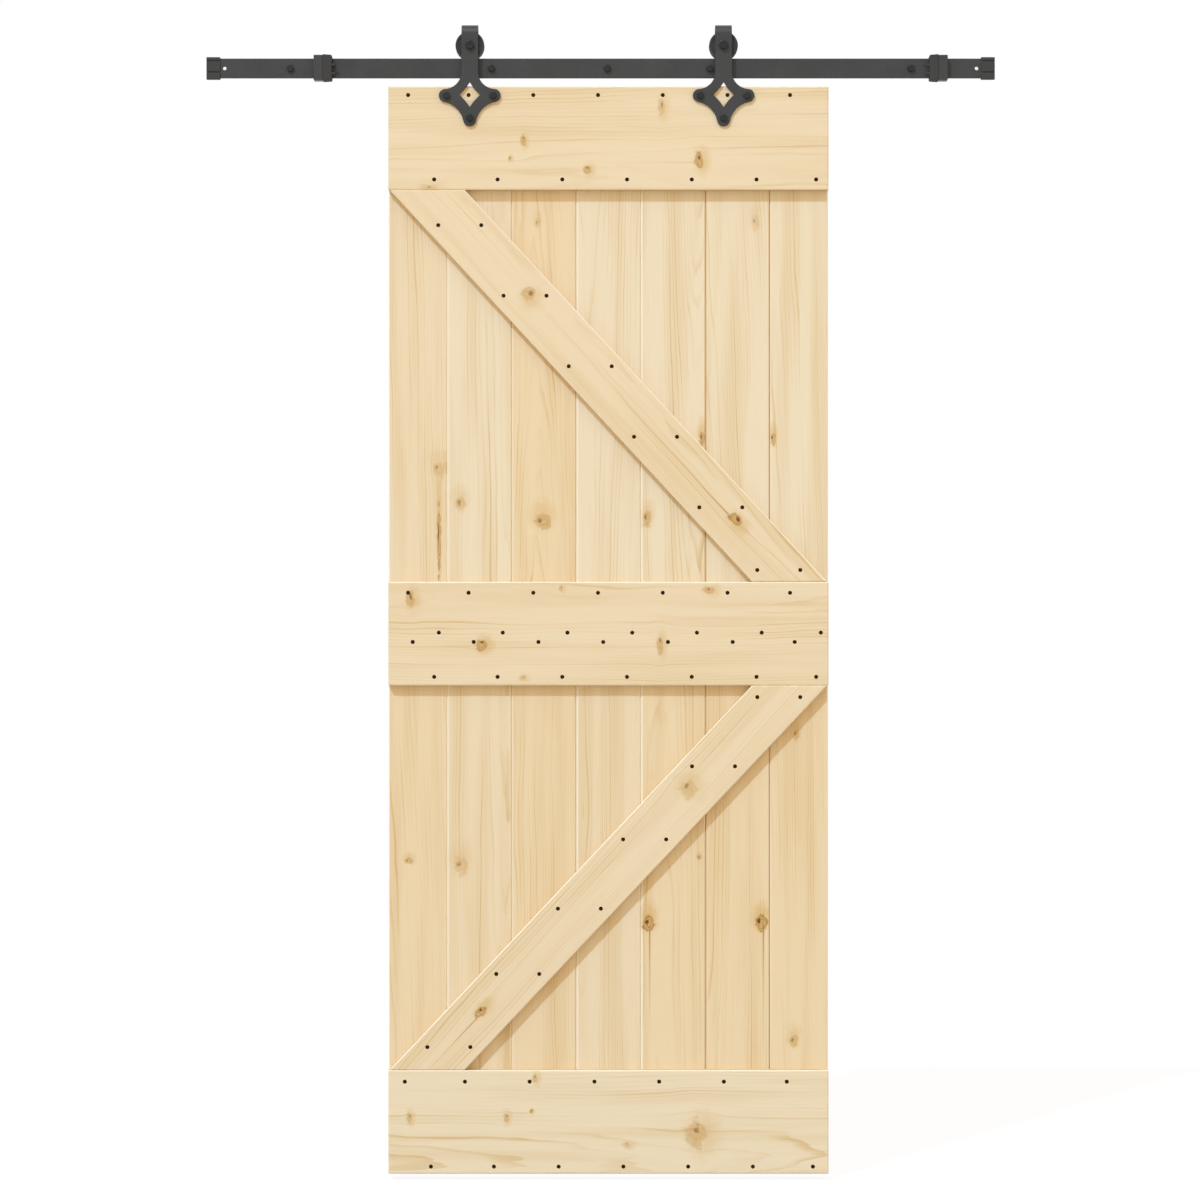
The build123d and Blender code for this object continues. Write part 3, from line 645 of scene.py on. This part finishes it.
def ring_plate(outline, outline_out, window, window_out, depth, edge):
    """A plate with a window and softened edges, in plate coordinates (a, b, depth).

    The out vectors of both lines point from the material into the air.
    """
    inset, sink = edge_curve(edge)
    return np.concatenate([
        at_depths(window, window_out, inset, sink),
        at_depths(outline, outline_out, inset[::-1], sink[::-1]),
        at_depths(outline, outline_out, inset, depth - sink),
        at_depths(window, window_out, inset[::-1], depth - sink[::-1]),
    ])


def lathe(profile, columns=TURN_COLUMNS):
    """A profile of (depth, radius) points carried round the depth axis, in coordinates (a, b, depth)."""
    depth, radius = np.asarray(profile, float).T[:, :, None]
    angle = np.linspace(0, 2 * math.pi, columns, endpoint=False)[None]
    return np.stack([radius * np.cos(angle), radius * np.sin(angle), depth + 0 * angle], axis=-1)


def soften(corners, reach, steps=EDGE_STEPS):
    """A closed polygon with each corner replaced by a curve between points at reach from it.

    The curve is the parabola (1 - t)^2 before + 2 t (1 - t) corner + t^2 after.
    """
    corners = np.asarray(corners, float)
    before, after = np.roll(corners, 1, axis=0) - corners, np.roll(corners, -1, axis=0) - corners
    start = corners + before / np.linalg.norm(before, axis=1, keepdims=True) * reach
    end = corners + after / np.linalg.norm(after, axis=1, keepdims=True) * reach
    t = np.linspace(0, 1, steps)[None, :, None]
    curve = (1 - t) ** 2 * start[:, None] + 2 * t * (1 - t) * corners[:, None] + t**2 * end[:, None]
    return curve.reshape(-1, 2)


def outward(line):
    """Unit vectors that point out of a closed anticlockwise line: its direction, turned by a right angle."""
    way = np.roll(line, -1, axis=0) - np.roll(line, 1, axis=0)
    out = np.stack([way[:, 1], -way[:, 0]], axis=1)
    return out / np.linalg.norm(out, axis=1, keepdims=True)


# Plate axes in the door's frame: a, b and depth as rows
FACING_FRONT = np.array([[1.0, 0, 0], [0, 0, 1], [0, 1, 0]])
ALONG_TRACK = np.array([[0.0, 1, 0], [0, 0, 1], [1, 0, 0]])


def place(grid, origin, axes=FACING_FRONT):
    """Plate coordinates as places in the door's frame."""
    return np.asarray(origin) + grid @ axes


print("points along a softened edge:", EDGE_STEPS, "columns of a turned piece:", TURN_COLUMNS)

# %% [markdown]
# ## Hangers
# A hanger is one flat bar. Its foot is cut to three lobes with a diamond window, and the bar runs up the front
# of the wheel, bends over it and comes down behind to carry the axle's other end.
# The lobes, the hollow between two of them and the flare that leads into the bar are circle arcs that touch,
# so the outline is a chain of arcs with known outward directions.
# The bar above the foot is a rounded section carried along a path: straight, half a circle, straight, and a round end.

# %% The foot plate's outline
STRAP_WIDTH, STRAP_THICKNESS, STRAP_GAP = 0.032, 0.005, 0.025
LOBE_REACH, LOBE_RADIUS, FOOT_WAIST, FLARE_RADIUS = 0.047, 0.0125, 0.0355, 0.034
WINDOW_HALF_WIDTH, WINDOW_HALF_HEIGHT, WINDOW_RISE, WINDOW_HOLLOW = 0.0204, 0.024, 0.0015, 0.0012
HANGER_EDGE = 0.0007
ARC_STEPS, TOP_STEPS = 18, 5


def arc(centre, radius, start, stop, hollow=False):
    """Points on an arc and their outward directions: away from the centre, or towards it along a hollow."""
    angle = np.linspace(start, stop, ARC_STEPS)
    ray = np.stack([np.cos(angle), np.sin(angle)], axis=1)
    return np.asarray(centre) + radius * ray, -ray if hollow else ray


def bearing(start, end):
    """The angle of the way from one point to another."""
    return math.atan2(end[1] - start[1], end[0] - start[0])


def foot_outline():
    """Half of the outline from the strap's middle down to the bottom tip, then its mirror image back up."""
    half = STRAP_WIDTH / 2
    diagonal = math.sqrt(2) * LOBE_REACH
    hollow = (LOBE_REACH**2 - diagonal * FOOT_WAIST + FOOT_WAIST**2 - LOBE_RADIUS**2) / (
        2 * LOBE_RADIUS + diagonal - 2 * FOOT_WAIST)
    side, bottom = (LOBE_REACH, 0.0), (0.0, -LOBE_REACH)
    waist = ((hollow + FOOT_WAIST) / math.sqrt(2), -(hollow + FOOT_WAIST) / math.sqrt(2))
    flare_x = half + FLARE_RADIUS
    flare = (flare_x, math.sqrt((FLARE_RADIUS + LOBE_RADIUS) ** 2 - (flare_x - LOBE_REACH) ** 2))
    top = np.stack([np.linspace(0, half, TOP_STEPS), np.full(TOP_STEPS, flare[1])], axis=1)
    top_out = np.zeros((TOP_STEPS, 2))
    top_out[-1] = (1.0, 0.0)
    chain = [
        (top, top_out),
        arc(flare, FLARE_RADIUS, math.pi, bearing(flare, side) % (2 * math.pi), hollow=True),
        arc(side, LOBE_RADIUS, bearing(side, flare), bearing(side, waist)),
        arc(waist, hollow, bearing(waist, side), bearing(waist, bottom), hollow=True),
        arc(bottom, LOBE_RADIUS, bearing(bottom, waist), -math.pi / 2),
    ]
    line = np.concatenate([points if i == 0 else points[1:] for i, (points, _) in enumerate(chain)])
    out = np.concatenate([ways if i == 0 else ways[1:] for i, (_, ways) in enumerate(chain)])
    mirror = np.array([-1.0, 1.0])
    return np.concatenate([line, line[-2:0:-1] * mirror]), np.concatenate([out, out[-2:0:-1] * mirror])


def window_line(outline):
    """The window's point in the direction of each outline point: a ray meets the straight side between two tips,
    and the side is then hollowed by a parabola."""
    ray = outline - (0.0, WINDOW_RISE)
    ray = ray / np.linalg.norm(ray, axis=1, keepdims=True)
    tips = np.array([WINDOW_HALF_WIDTH, WINDOW_HALF_HEIGHT])
    length = 1 / (np.abs(ray) / tips).sum(axis=1)
    share = length * np.abs(ray[:, 1]) / WINDOW_HALF_HEIGHT
    normal = np.sign(ray) / tips
    normal = normal / np.linalg.norm(normal, axis=1, keepdims=True)
    side = ray * length[:, None] - normal * (4 * share * (1 - share) * WINDOW_HOLLOW)[:, None]
    return side + (0.0, WINDOW_RISE), -ray


foot_line, foot_out = foot_outline()
window, window_out = window_line(foot_line)
foot_plate = ring_plate(foot_line, foot_out, window, window_out, STRAP_THICKNESS, HANGER_EDGE)
print("foot plate points:", foot_plate.shape[0] * foot_plate.shape[1])

# %% The strap over the wheel
BEND_STEPS = 28
END_STEPS = 14


def strap(place_x, front_y, start_z, bend_z, axle_z):
    """The bar above the foot: a softened rectangle carried up the front leg, round the bend and down the back leg.

    Each row has a middle, an outward direction and a half width; the round end narrows as the cosine of its angle.
    """
    radius = (STRAP_GAP + STRAP_THICKNESS) / 2
    wheel_y = front_y + STRAP_THICKNESS / 2 + radius
    turn = np.linspace(0, math.pi, BEND_STEPS)
    end = np.linspace(0, math.pi / 2, END_STEPS)[1:]
    y = np.concatenate([[wheel_y - radius], wheel_y - radius * np.cos(turn), np.full(END_STEPS, wheel_y + radius)])
    z = np.concatenate([[start_z], bend_z + radius * np.sin(turn), [axle_z], axle_z - STRAP_WIDTH / 2 * np.sin(end)])
    out_y = np.concatenate([[-1.0], -np.cos(turn), np.ones(END_STEPS)])
    out_z = np.concatenate([[0.0], np.sin(turn), np.zeros(END_STEPS)])
    width = np.concatenate([np.ones(BEND_STEPS + 2), np.cos(end)])
    half, thick = STRAP_WIDTH / 2, STRAP_THICKNESS / 2
    section = soften([(-half, -thick), (half, -thick), (half, thick), (-half, thick)], HANGER_EDGE)
    rows = np.stack([place_x + width[:, None] * section[:, 0],
                     y[:, None] + out_y[:, None] * section[:, 1],
                     z[:, None] + out_z[:, None] * section[:, 1]], axis=-1)
    middles = np.stack([np.full_like(y, place_x), y, z], axis=-1)[:, None]
    caps = np.broadcast_to(middles, rows.shape)
    return np.concatenate([caps[:1], rows, caps[-1:]])


for side in ("left", "right"):
    low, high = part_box(f"{side}_hanger")
    middle_x = (low.x + high.x) / 2
    foot_z = low.z + LOBE_REACH + LOBE_RADIUS
    bend_z = high.z - STRAP_GAP / 2 - STRAP_THICKNESS
    axle_low, axle_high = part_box(f"{side}_wheel")
    axle_z = (axle_low.z + axle_high.z) / 2
    foot = place(foot_plate, (middle_x, low.y, foot_z))
    bar = strap(middle_x, low.y, foot_z + foot_line[0, 1], bend_z, axle_z)
    dress(f"{side}_hanger", [(foot, True), (bar, False)], coated_steel)

# %% [markdown]
# ## Wheels
# Each wheel is turned from one bar: two flanges with softened rims, a flat-bottomed groove that rides
# on the track's edge, and a bored hub. The profile is a closed loop, so the lathe's rows wrap as well.

# %% Turn the wheels
TREAD_RADIUS, GROOVE_HALF_WIDTH, BORE_RADIUS = 0.0237, 0.0038, 0.00805
HUB_RADIUS, HUB_RECESS, RECESS_SHARE = 0.0125, 0.0008, 0.80
WHEEL_COLUMNS = 96

for side in ("left", "right"):
    low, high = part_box(f"{side}_wheel")
    rim, half = (high.z - low.z) / 2, (high.y - low.y) / 2
    face, recess = half - HUB_RECESS, rim * RECESS_SHARE
    quarter = [(half, BORE_RADIUS), (half, HUB_RADIUS), (face, HUB_RADIUS + HUB_RECESS), (face, recess),
               (half, recess + HUB_RECESS), (half, rim), (GROOVE_HALF_WIDTH, rim), (GROOVE_HALF_WIDTH, TREAD_RADIUS)]
    profile = soften(quarter + [(-depth, radius) for depth, radius in reversed(quarter)], HUB_RECESS / 2, steps=3)
    centre = [(a + b) / 2 for a, b in zip(low, high)]
    dress(f"{side}_wheel", [(place(lathe(profile, WHEEL_COLUMNS), centre), True)], wheel_steel)

# %% [markdown]
# ## Bolts, coach screws and spacers
# A hexagon head is chamfered on a lathe, which leaves curved edges where the cone cuts the flats.
# The same happens in the formula: the wall's height at each angle is lower where the hexagon reaches further out.
# The wall screws end in a coarse wood thread. Their radius is a wave that climbs one pitch in each turn.

# %% Hexagon heads, shanks and threads
CHAMFER_SLOPE = math.tan(math.radians(30))
THREAD_PITCH, THREAD_DEPTH, THREAD_POINT = 0.0034, 0.0011, 0.009
THREAD_ROWS_PER_TURN, POINT_POWER = 8, 0.7
CHAMFER_CIRCLE, DISH_RIM, DISH_FLOOR, DISH_DEPTH = 0.95, 0.72, 0.66, 0.0003


def hex_head(across_flats, height, columns=72):
    """A head from its seat at depth 0 to its top at minus height.

    The wall's radius R(angle) is that of a hexagon with a corner at angle 0, its height is lowered
    by (R - chamfer circle) * slope, and the top is slightly dished.
    """
    angle = np.linspace(0, 2 * math.pi, columns, endpoint=False)
    wall = across_flats / 2 / np.cos(angle % (math.pi / 3) - math.pi / 6)
    circle = across_flats / 2 * CHAMFER_CIRCLE
    shoulder = height - (wall - circle) * CHAMFER_SLOPE
    floor = height - DISH_DEPTH
    profile = [(0, 0), (wall, 0), (wall, shoulder), (circle, height),
               (DISH_RIM * circle, height), (DISH_FLOOR * circle, floor), (0, floor)]
    radius, rise = (np.stack([value + 0 * angle for value in values]) for values in zip(*profile))
    return np.stack([radius * np.cos(angle), radius * np.sin(angle), -rise], axis=-1)


def shank(radius, reach, chamfer=0.0006, columns=32):
    """A plain round shank from depth 0 to reach, closed at both ends."""
    profile = [(0, 0), (0, radius), (reach - chamfer, radius), (reach, radius - chamfer), (reach, 0)]
    return lathe(profile, columns)


def threaded_shank(radius, plain, reach, columns=24):
    """A shank whose far part is a thread, faded in at its start and scaled down to a point over the last stretch.

    The thread's crest is (1 + cos(turns - angle)) / 2 to the fourth, and the radius is less by a depth off the crest.
    """
    rows = int((reach - plain) / THREAD_PITCH * THREAD_ROWS_PER_TURN)
    depth = np.concatenate([[0.0, 0.0], np.linspace(plain, reach, rows)])[:, None]
    angle = np.linspace(0, 2 * math.pi, columns, endpoint=False)[None]
    crest = ((1 + np.cos(2 * math.pi * depth / THREAD_PITCH - angle)) / 2) ** 4
    fade = np.clip((depth - plain) / THREAD_PITCH, 0, 1)
    point = np.clip((reach - depth) / THREAD_POINT, 0, 1) ** POINT_POWER
    grown = (radius - fade * THREAD_DEPTH * (1 - crest)) * point
    grown[0] = 0
    return np.stack([grown * np.cos(angle), grown * np.sin(angle), depth + 0 * angle], axis=-1)


def front_middle(low, high, depth=0.0):
    """The middle of a box's front face, or the point at a depth behind it."""
    middle = (low + high) / 2
    middle[1] = low[1] + depth
    return middle


# %% Make the fixings
COACH_FLATS, COACH_HEAD, COACH_RADIUS = 0.013, 0.0053, 0.004
AXLE_FLATS, AXLE_HEAD, AXLE_RADIUS = 0.016, 0.0064, 0.005
WALL_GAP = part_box("track_spacers")[1].y


def fixings(node, flats, head, shank_from):
    """A head and a shank for each fixing in a node; shank_from(seat, reach) draws a shank behind its seat."""
    grids = []
    for low, high in solid_boxes(node):
        seat = front_middle(low, high, head)
        for grid in (hex_head(flats, head), shank_from(seat[1], high[1] - seat[1])):
            grids.append((place(grid, seat), False))
    dress(node, grids, black_fixing)


fixings("wall_screws", COACH_FLATS, COACH_HEAD,
        lambda seat, reach: threaded_shank(COACH_RADIUS, WALL_GAP - seat, reach))
fixings("hanger_screws", COACH_FLATS, COACH_HEAD, lambda seat, reach: shank(COACH_RADIUS, reach))
fixings("axle_bolts", AXLE_FLATS, AXLE_HEAD, lambda seat, reach: shank(AXLE_RADIUS, reach))

# %% Nuts and spacers
NUT_CORNER, NUT_EDGE, SPACER_EDGE = 0.0006, 0.0005, 0.0006
THREAD_CLEARANCE, HOLE_CLEARANCE = 0.00005, 0.00025


def circle_line(radius, directions):
    """Points of a circle in the directions of other points, so that both lines have matching columns."""
    return directions / np.linalg.norm(directions, axis=1, keepdims=True) * radius


def holed_plate(outline, hole_radius, depth, edge):
    """A ring plate with a round hole in its middle."""
    hole = circle_line(hole_radius, outline)
    return ring_plate(outline, outward(outline), hole, -hole / hole_radius, depth, edge)


corner_angles = np.arange(6) * math.pi / 3
hexagon = AXLE_FLATS / math.sqrt(3) * np.stack([np.cos(corner_angles), np.sin(corner_angles)], axis=1)
nut_outline = soften(hexagon, NUT_CORNER, steps=6)
nut_grids = []
for low, high in solid_boxes("axle_nuts"):
    nut = holed_plate(nut_outline, AXLE_RADIUS + THREAD_CLEARANCE, high[1] - low[1], NUT_EDGE)
    nut_grids.append((place(nut, front_middle(low, high)), True))
dress("axle_nuts", nut_grids, black_fixing)

spacer_grids = []
for low, high in solid_boxes("track_spacers"):
    radius = (high[0] - low[0]) / 2
    ring = lathe([(0, radius)])[0, :, :2]
    spacer = holed_plate(ring, COACH_RADIUS + HOLE_CLEARANCE, high[1] - low[1], SPACER_EDGE)
    spacer_grids.append((place(spacer, front_middle(low, high)), True))
dress("track_spacers", spacer_grids, coated_steel)

# %% [markdown]
# ## Wood screws
# The boards are held by rows of dark screws whose heads sit just at the surface.
# Only the flat dark top of a head shows. It is a very shallow dome on a polar grid, and its cross recess
# comes from the same height formula: a point is lower close to either of two crossed lines, near the middle.

# %% Make the wood screws
SCREW_DOME, DOME_POWER, RECESS_DEPTH = 0.0004, 6, 0.0003
# In head radii, but the side is in half widths: there, and at its reach, the recess has faded out
RECESS_HALF_WIDTH, RECESS_SIDE, RECESS_REACH, RECESS_END = 0.16, 1.6, 0.66, 0.10
SCREW_COLUMNS, SPIN_SEED = 24, 5
SCREW_RINGS = np.array([0.0, 0.10, 0.20, 0.32, 0.46, 0.56, 0.64, 0.78, 0.92, 1.0])


def screw_head(radius, depth, spin):
    """A countersunk head in coordinates (a, b, depth) with its rim at depth 0.

    Height over the rim is dome * (1 - s^6) less the recess, with s the distance from the middle in radii.
    """
    share = SCREW_RINGS[:, None]
    angle = np.linspace(0, 2 * math.pi, SCREW_COLUMNS, endpoint=False)[None]
    a, b = share * np.cos(angle), share * np.sin(angle)
    turned_a, turned_b = a * math.cos(spin) - b * math.sin(spin), a * math.sin(spin) + b * math.cos(spin)
    near = np.clip(RECESS_SIDE - np.minimum(abs(turned_a), abs(turned_b)) / RECESS_HALF_WIDTH, 0, 1)
    inside = np.clip((RECESS_REACH - share) / RECESS_END, 0, 1)
    rise = SCREW_DOME * (1 - share**DOME_POWER) - RECESS_DEPTH * near * inside
    top = np.stack([radius * a, radius * b, -rise + 0 * angle], axis=-1)
    tip = np.broadcast_to(np.array([0.0, 0.0, depth]), top[:1].shape)
    return np.concatenate([top, tip])


spins = np.random.default_rng(SPIN_SEED)
for node in sorted(node for node in nodes if slot_of[node] == "wood_screw"):
    heads = []
    for low, high in solid_boxes(node):
        radius = (high[0] - low[0]) / 2
        head = screw_head(radius, high[1] - low[1], spins.uniform(0, math.pi / 2))
        heads.append((place(head, front_middle(low, high, SCREW_DOME)), False))
    dress(node, heads, screw_brown)

# %% [markdown]
# ## Stops and end caps
# A stop is a steel clamp behind a rubber buffer, and the track passes through both. Seen along the track, each is a
# rectangle with a slot, so the ring plate serves again, this time with its depth along X.
# The buffer's two nubs are short round pegs.
# An end cap is the same rectangle with two grooves in its front and a closed end.

# %% Make the stops
CLAMP_CORNER, CLAMP_EDGE = 0.0015, 0.0009
BUFFER_CORNER, BUFFER_EDGE, BUFFER_ROUND, ROUND_POWER = 0.0015, 0.0012, 0.004, 8
SLOT_CORNER = 0.0004
TRACK_THICKNESS, TRACK_HEIGHT, STOP_CLEARANCE = 0.006, 0.038, 0.00015
NUB_LENGTH, NUB_RADIUS, NUB_INSET, NUB_ROOT, NUB_COLUMNS = 0.007, 0.0025, 0.0025, 0.002, 20
NUB_HEIGHTS = (0.005, -0.012)
# The nub's rounded tip as shares of its length and radius
NUB_TIP = ((0.75, 1.0), (0.93, 0.8), (1.0, 0.45), (1.0, 0.0))


def box_line(low, high, corner, steps=6):
    """A rectangle in (a, b) with softened corners."""
    return soften([(low[0], low[1]), (high[0], low[1]), (high[0], high[1]), (low[0], high[1])], corner, steps)


slot_half = TRACK_HEIGHT / 2 + STOP_CLEARANCE
slot_line = box_line((-TRACK_THICKNESS - STOP_CLEARANCE, -slot_half), (STOP_CLEARANCE, slot_half), SLOT_CORNER)


def slotted_block(low, high, corner, length, edge):
    """A block with softened corners and edges that the track passes through."""
    outline = box_line((low.y, low.z), (high.y, high.z), corner)
    return ring_plate(outline, outward(outline), slot_line, -outward(slot_line), length, edge)


def round_top_and_bottom(block, low, high, length):
    """Draw a buffer's top and bottom in towards its face: by round * (1 - sqrt(1 - s^2)), s rising from 0 to 1 over
    the last stretch, times the height from the middle to a high power, which spares the slot."""
    near_face = np.clip((block[..., 2] - length + BUFFER_ROUND) / BUFFER_ROUND, 0, 1)
    middle_z = (low.z + high.z) / 2
    height = block[..., 1] - middle_z
    share = (abs(height) / (high.z - middle_z)) ** ROUND_POWER
    block[..., 1] -= np.sign(height) * BUFFER_ROUND * (1 - np.sqrt(1 - near_face**2)) * share


nub_profile = [(-NUB_ROOT, 0), (-NUB_ROOT, NUB_RADIUS)] + [(a * NUB_LENGTH, b * NUB_RADIUS) for a, b in NUB_TIP]
nub = lathe(nub_profile, NUB_COLUMNS)
for side, sign in (("left", -1), ("right", 1)):
    low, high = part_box(f"{side}_stop_clamp")
    clamp = slotted_block(low, high, CLAMP_CORNER, high.x - low.x, CLAMP_EDGE)
    dress(f"{side}_stop_clamp", [(place(clamp, (low.x, 0, 0), ALONG_TRACK), True)], coated_steel)

    low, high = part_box(f"{side}_stop_buffer")
    back_x, face_x = (low.x, high.x - NUB_LENGTH) if sign < 0 else (high.x, low.x + NUB_LENGTH)
    length = abs(face_x - back_x)
    block = slotted_block(low, high, BUFFER_CORNER, length, BUFFER_EDGE)
    round_top_and_bottom(block, low, high, length)
    towards_leaf = ALONG_TRACK * np.array([-sign, 1, 1])
    grids = [(place(block, (back_x, 0, 0), towards_leaf), True)]
    grids += [(place(nub, (face_x, low.y + NUB_INSET, height), towards_leaf), False) for height in NUB_HEIGHTS]
    dress(f"{side}_stop_buffer", grids, buffer_rubber)

# %% Make the end caps
CAP_CORNER, CAP_EDGE, CAP_CLEARANCE, MOUTH_DEPTH = 0.0016, 0.0009, 0.0001, 0.0036
FRONT_POINTS = 81
GROOVE_HEIGHTS, GROOVE_DEPTH, GROOVE_HALF = (0.0136, -0.0082), 0.0019, 0.0016


def cap_outline(low, high):
    """The cap seen along the track: a softened rectangle whose front is pressed in at two heights by a bell curve
    exp(-((height - groove) / half width)^4)."""
    front = np.linspace(high[1] - CAP_CORNER, low[1] + CAP_CORNER, FRONT_POINTS)
    press = sum(np.exp(-(((front - height) / GROOVE_HALF) ** 4)) for height in GROOVE_HEIGHTS)
    front_line = np.stack([low[0] + GROOVE_DEPTH * press, front], axis=1)
    return np.concatenate([front_line[1:-1], box_line(low, high, CAP_CORNER)])


for side, sign in (("left", -1), ("right", 1)):
    low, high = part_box(f"{side}_end_cap")
    outline = cap_outline((low.y, low.z), (high.y, high.z))
    out = outward(outline)
    mouth_x, length = high.x if sign < 0 else low.x, high.x - low.x
    middle = np.broadcast_to(((low.y + high.y) / 2, 0.0), outline.shape)
    inner = np.clip(outline, (-TRACK_THICKNESS - CAP_CLEARANCE, -TRACK_HEIGHT / 2 - CAP_CLEARANCE),
                    (CAP_CLEARANCE, TRACK_HEIGHT / 2 + CAP_CLEARANCE))
    inset, sink = edge_curve(CAP_EDGE)
    grid = np.concatenate([
        at_depths(inner, out, (0, 0), (MOUTH_DEPTH, 0)),
        at_depths(outline, out, inset[::-1], sink[::-1]),
        at_depths(outline, out, inset, length - sink),
        at_depths(middle, out, (0,), (length,)),
    ])
    towards_end = ALONG_TRACK * np.array([sign, 1, 1])
    dress(f"{side}_end_cap", [(place(grid, (mouth_x, 0, 0), towards_end), False)], cap_plastic)

# %% [markdown]
# ## Stage and light
# The photograph is lit from above and a little from the left: each ledge throws a shadow about as deep as it is thick.
# One sun gives those shadows and an even world fills them. The sun is cool and the world is warm,
# so that together they are white on the boards' faces, while the shadows turn golden as in the photograph.
# A tinted sun would leave tinted glints on the steel, so it lights matt colour only, and a white twin lights the gloss.
# A weaker, softer sun behind the door keeps its back from going dull, and doesn't reach its front.
# The floor and the world look white to the camera and to reflections,
# while the floor still takes some of the door's shadow.

# %% Floor, sun and world
FLOOR_SIZE, FLOOR_DROP = 12.0, 0.012
SUN_WAY = (0.62, 1.0, -1.27)
SUN_STRENGTH, SUN_ANGLE = 1.46, math.radians(2.5)
SUN_COLOUR, SKY_COLOUR = (0.64, 1.0, 1.54), (1.20, 1.0, 0.745, 1.0)
BACK_SUN_WAY = (-0.35, -1.0, -0.35)
BACK_SUN_STRENGTH, BACK_SUN_ANGLE = 0.95, math.radians(25)
GLINT_STRENGTH, GLINT_COLOUR = 2.4, (1.0, 1.0, 1.0)
SKY_STRENGTH = 0.755
SHADOW_SHARE = 0.12
WHITE, FLOOR_WHITE, FLOOR_BOUNCE = (1.0, 1.0, 1.0, 1.0), srgb(254, 254, 254), (0.48, 0.42, 0.33, 1.0)
FLOOR_ROUGHNESS = 0.9

half = FLOOR_SIZE / 2
floor_z = cad_box[0].z - FLOOR_DROP
floor_corners = [(x * half, y * half, floor_z) for x, y in ((-1, -1), (1, -1), (1, 1), (-1, 1))]
floor_mesh = bpy.data.meshes.new("floor")
floor_mesh.from_pydata(floor_corners, [], [(0, 1, 2, 3)])
floor = bpy.data.objects.new("floor", floor_mesh)
bpy.context.scene.collection.objects.link(floor)


def seen_directly(pen):
    """1 for rays from the camera, reflections and clear materials, 0 for light that spreads."""
    path = pen.add("ShaderNodeLightPath").outputs
    bounced = pen.math("MAXIMUM", path["Is Glossy Ray"], path["Is Transmission Ray"])
    return pen.math("MAXIMUM", path["Is Camera Ray"], bounced)


floor_finish, floor_shader, pen = new_finish("pale_floor", Roughness=FLOOR_ROUGHNESS)
white = pen.add("ShaderNodeEmission", {"Color": WHITE, "Strength": 1.0}).outputs[0]
seen = seen_directly(pen)
pen.wire(floor_shader.inputs["Base Color"], pen.blend(seen, FLOOR_BOUNCE, FLOOR_WHITE))
share = pen.math("MULTIPLY", seen, 1 - SHADOW_SHARE)
mixed = pen.add("ShaderNodeMixShader", {0: share, 1: floor_shader.outputs[0], 2: white}).outputs[0]
pen.wire(pen.tree.nodes["Material Output"].inputs["Surface"], mixed)
floor_mesh.materials.append(floor_finish)


def add_sun(name, way, strength, colour, angle, gloss=False):
    """A sun whose rays run along way; its angle sets how soft its shadows are.

    It lights either matt colour or gloss.
    """
    light = bpy.data.lights.new(name, "SUN")
    light.energy, light.color, light.angle = strength, colour, angle
    sun = bpy.data.objects.new(name, light)
    sun.rotation_euler = Vector(way).to_track_quat("-Z", "Y").to_euler()
    sun.visible_diffuse, sun.visible_glossy = not gloss, gloss
    bpy.context.scene.collection.objects.link(sun)


add_sun("front_sun", SUN_WAY, SUN_STRENGTH, SUN_COLOUR, SUN_ANGLE)
add_sun("front_glint", SUN_WAY, GLINT_STRENGTH, GLINT_COLOUR, SUN_ANGLE, gloss=True)
add_sun("back_sun", BACK_SUN_WAY, BACK_SUN_STRENGTH, SUN_COLOUR, BACK_SUN_ANGLE)

world = bpy.data.worlds.new("white_room")
bpy.context.scene.world = world
world.use_nodes = True
pen = Pen(world.node_tree)
sky = world.node_tree.nodes["Background"]
seen = seen_directly(pen)
pen.wire(sky.inputs["Color"], pen.blend(seen, SKY_COLOUR, WHITE))
pen.wire(sky.inputs["Strength"], pen.ease(seen, 0.0, 1.0, SKY_STRENGTH, 1.0))
bpy.context.scene.view_settings.view_transform = "Standard"
print("floor at", round(floor_z, 4))
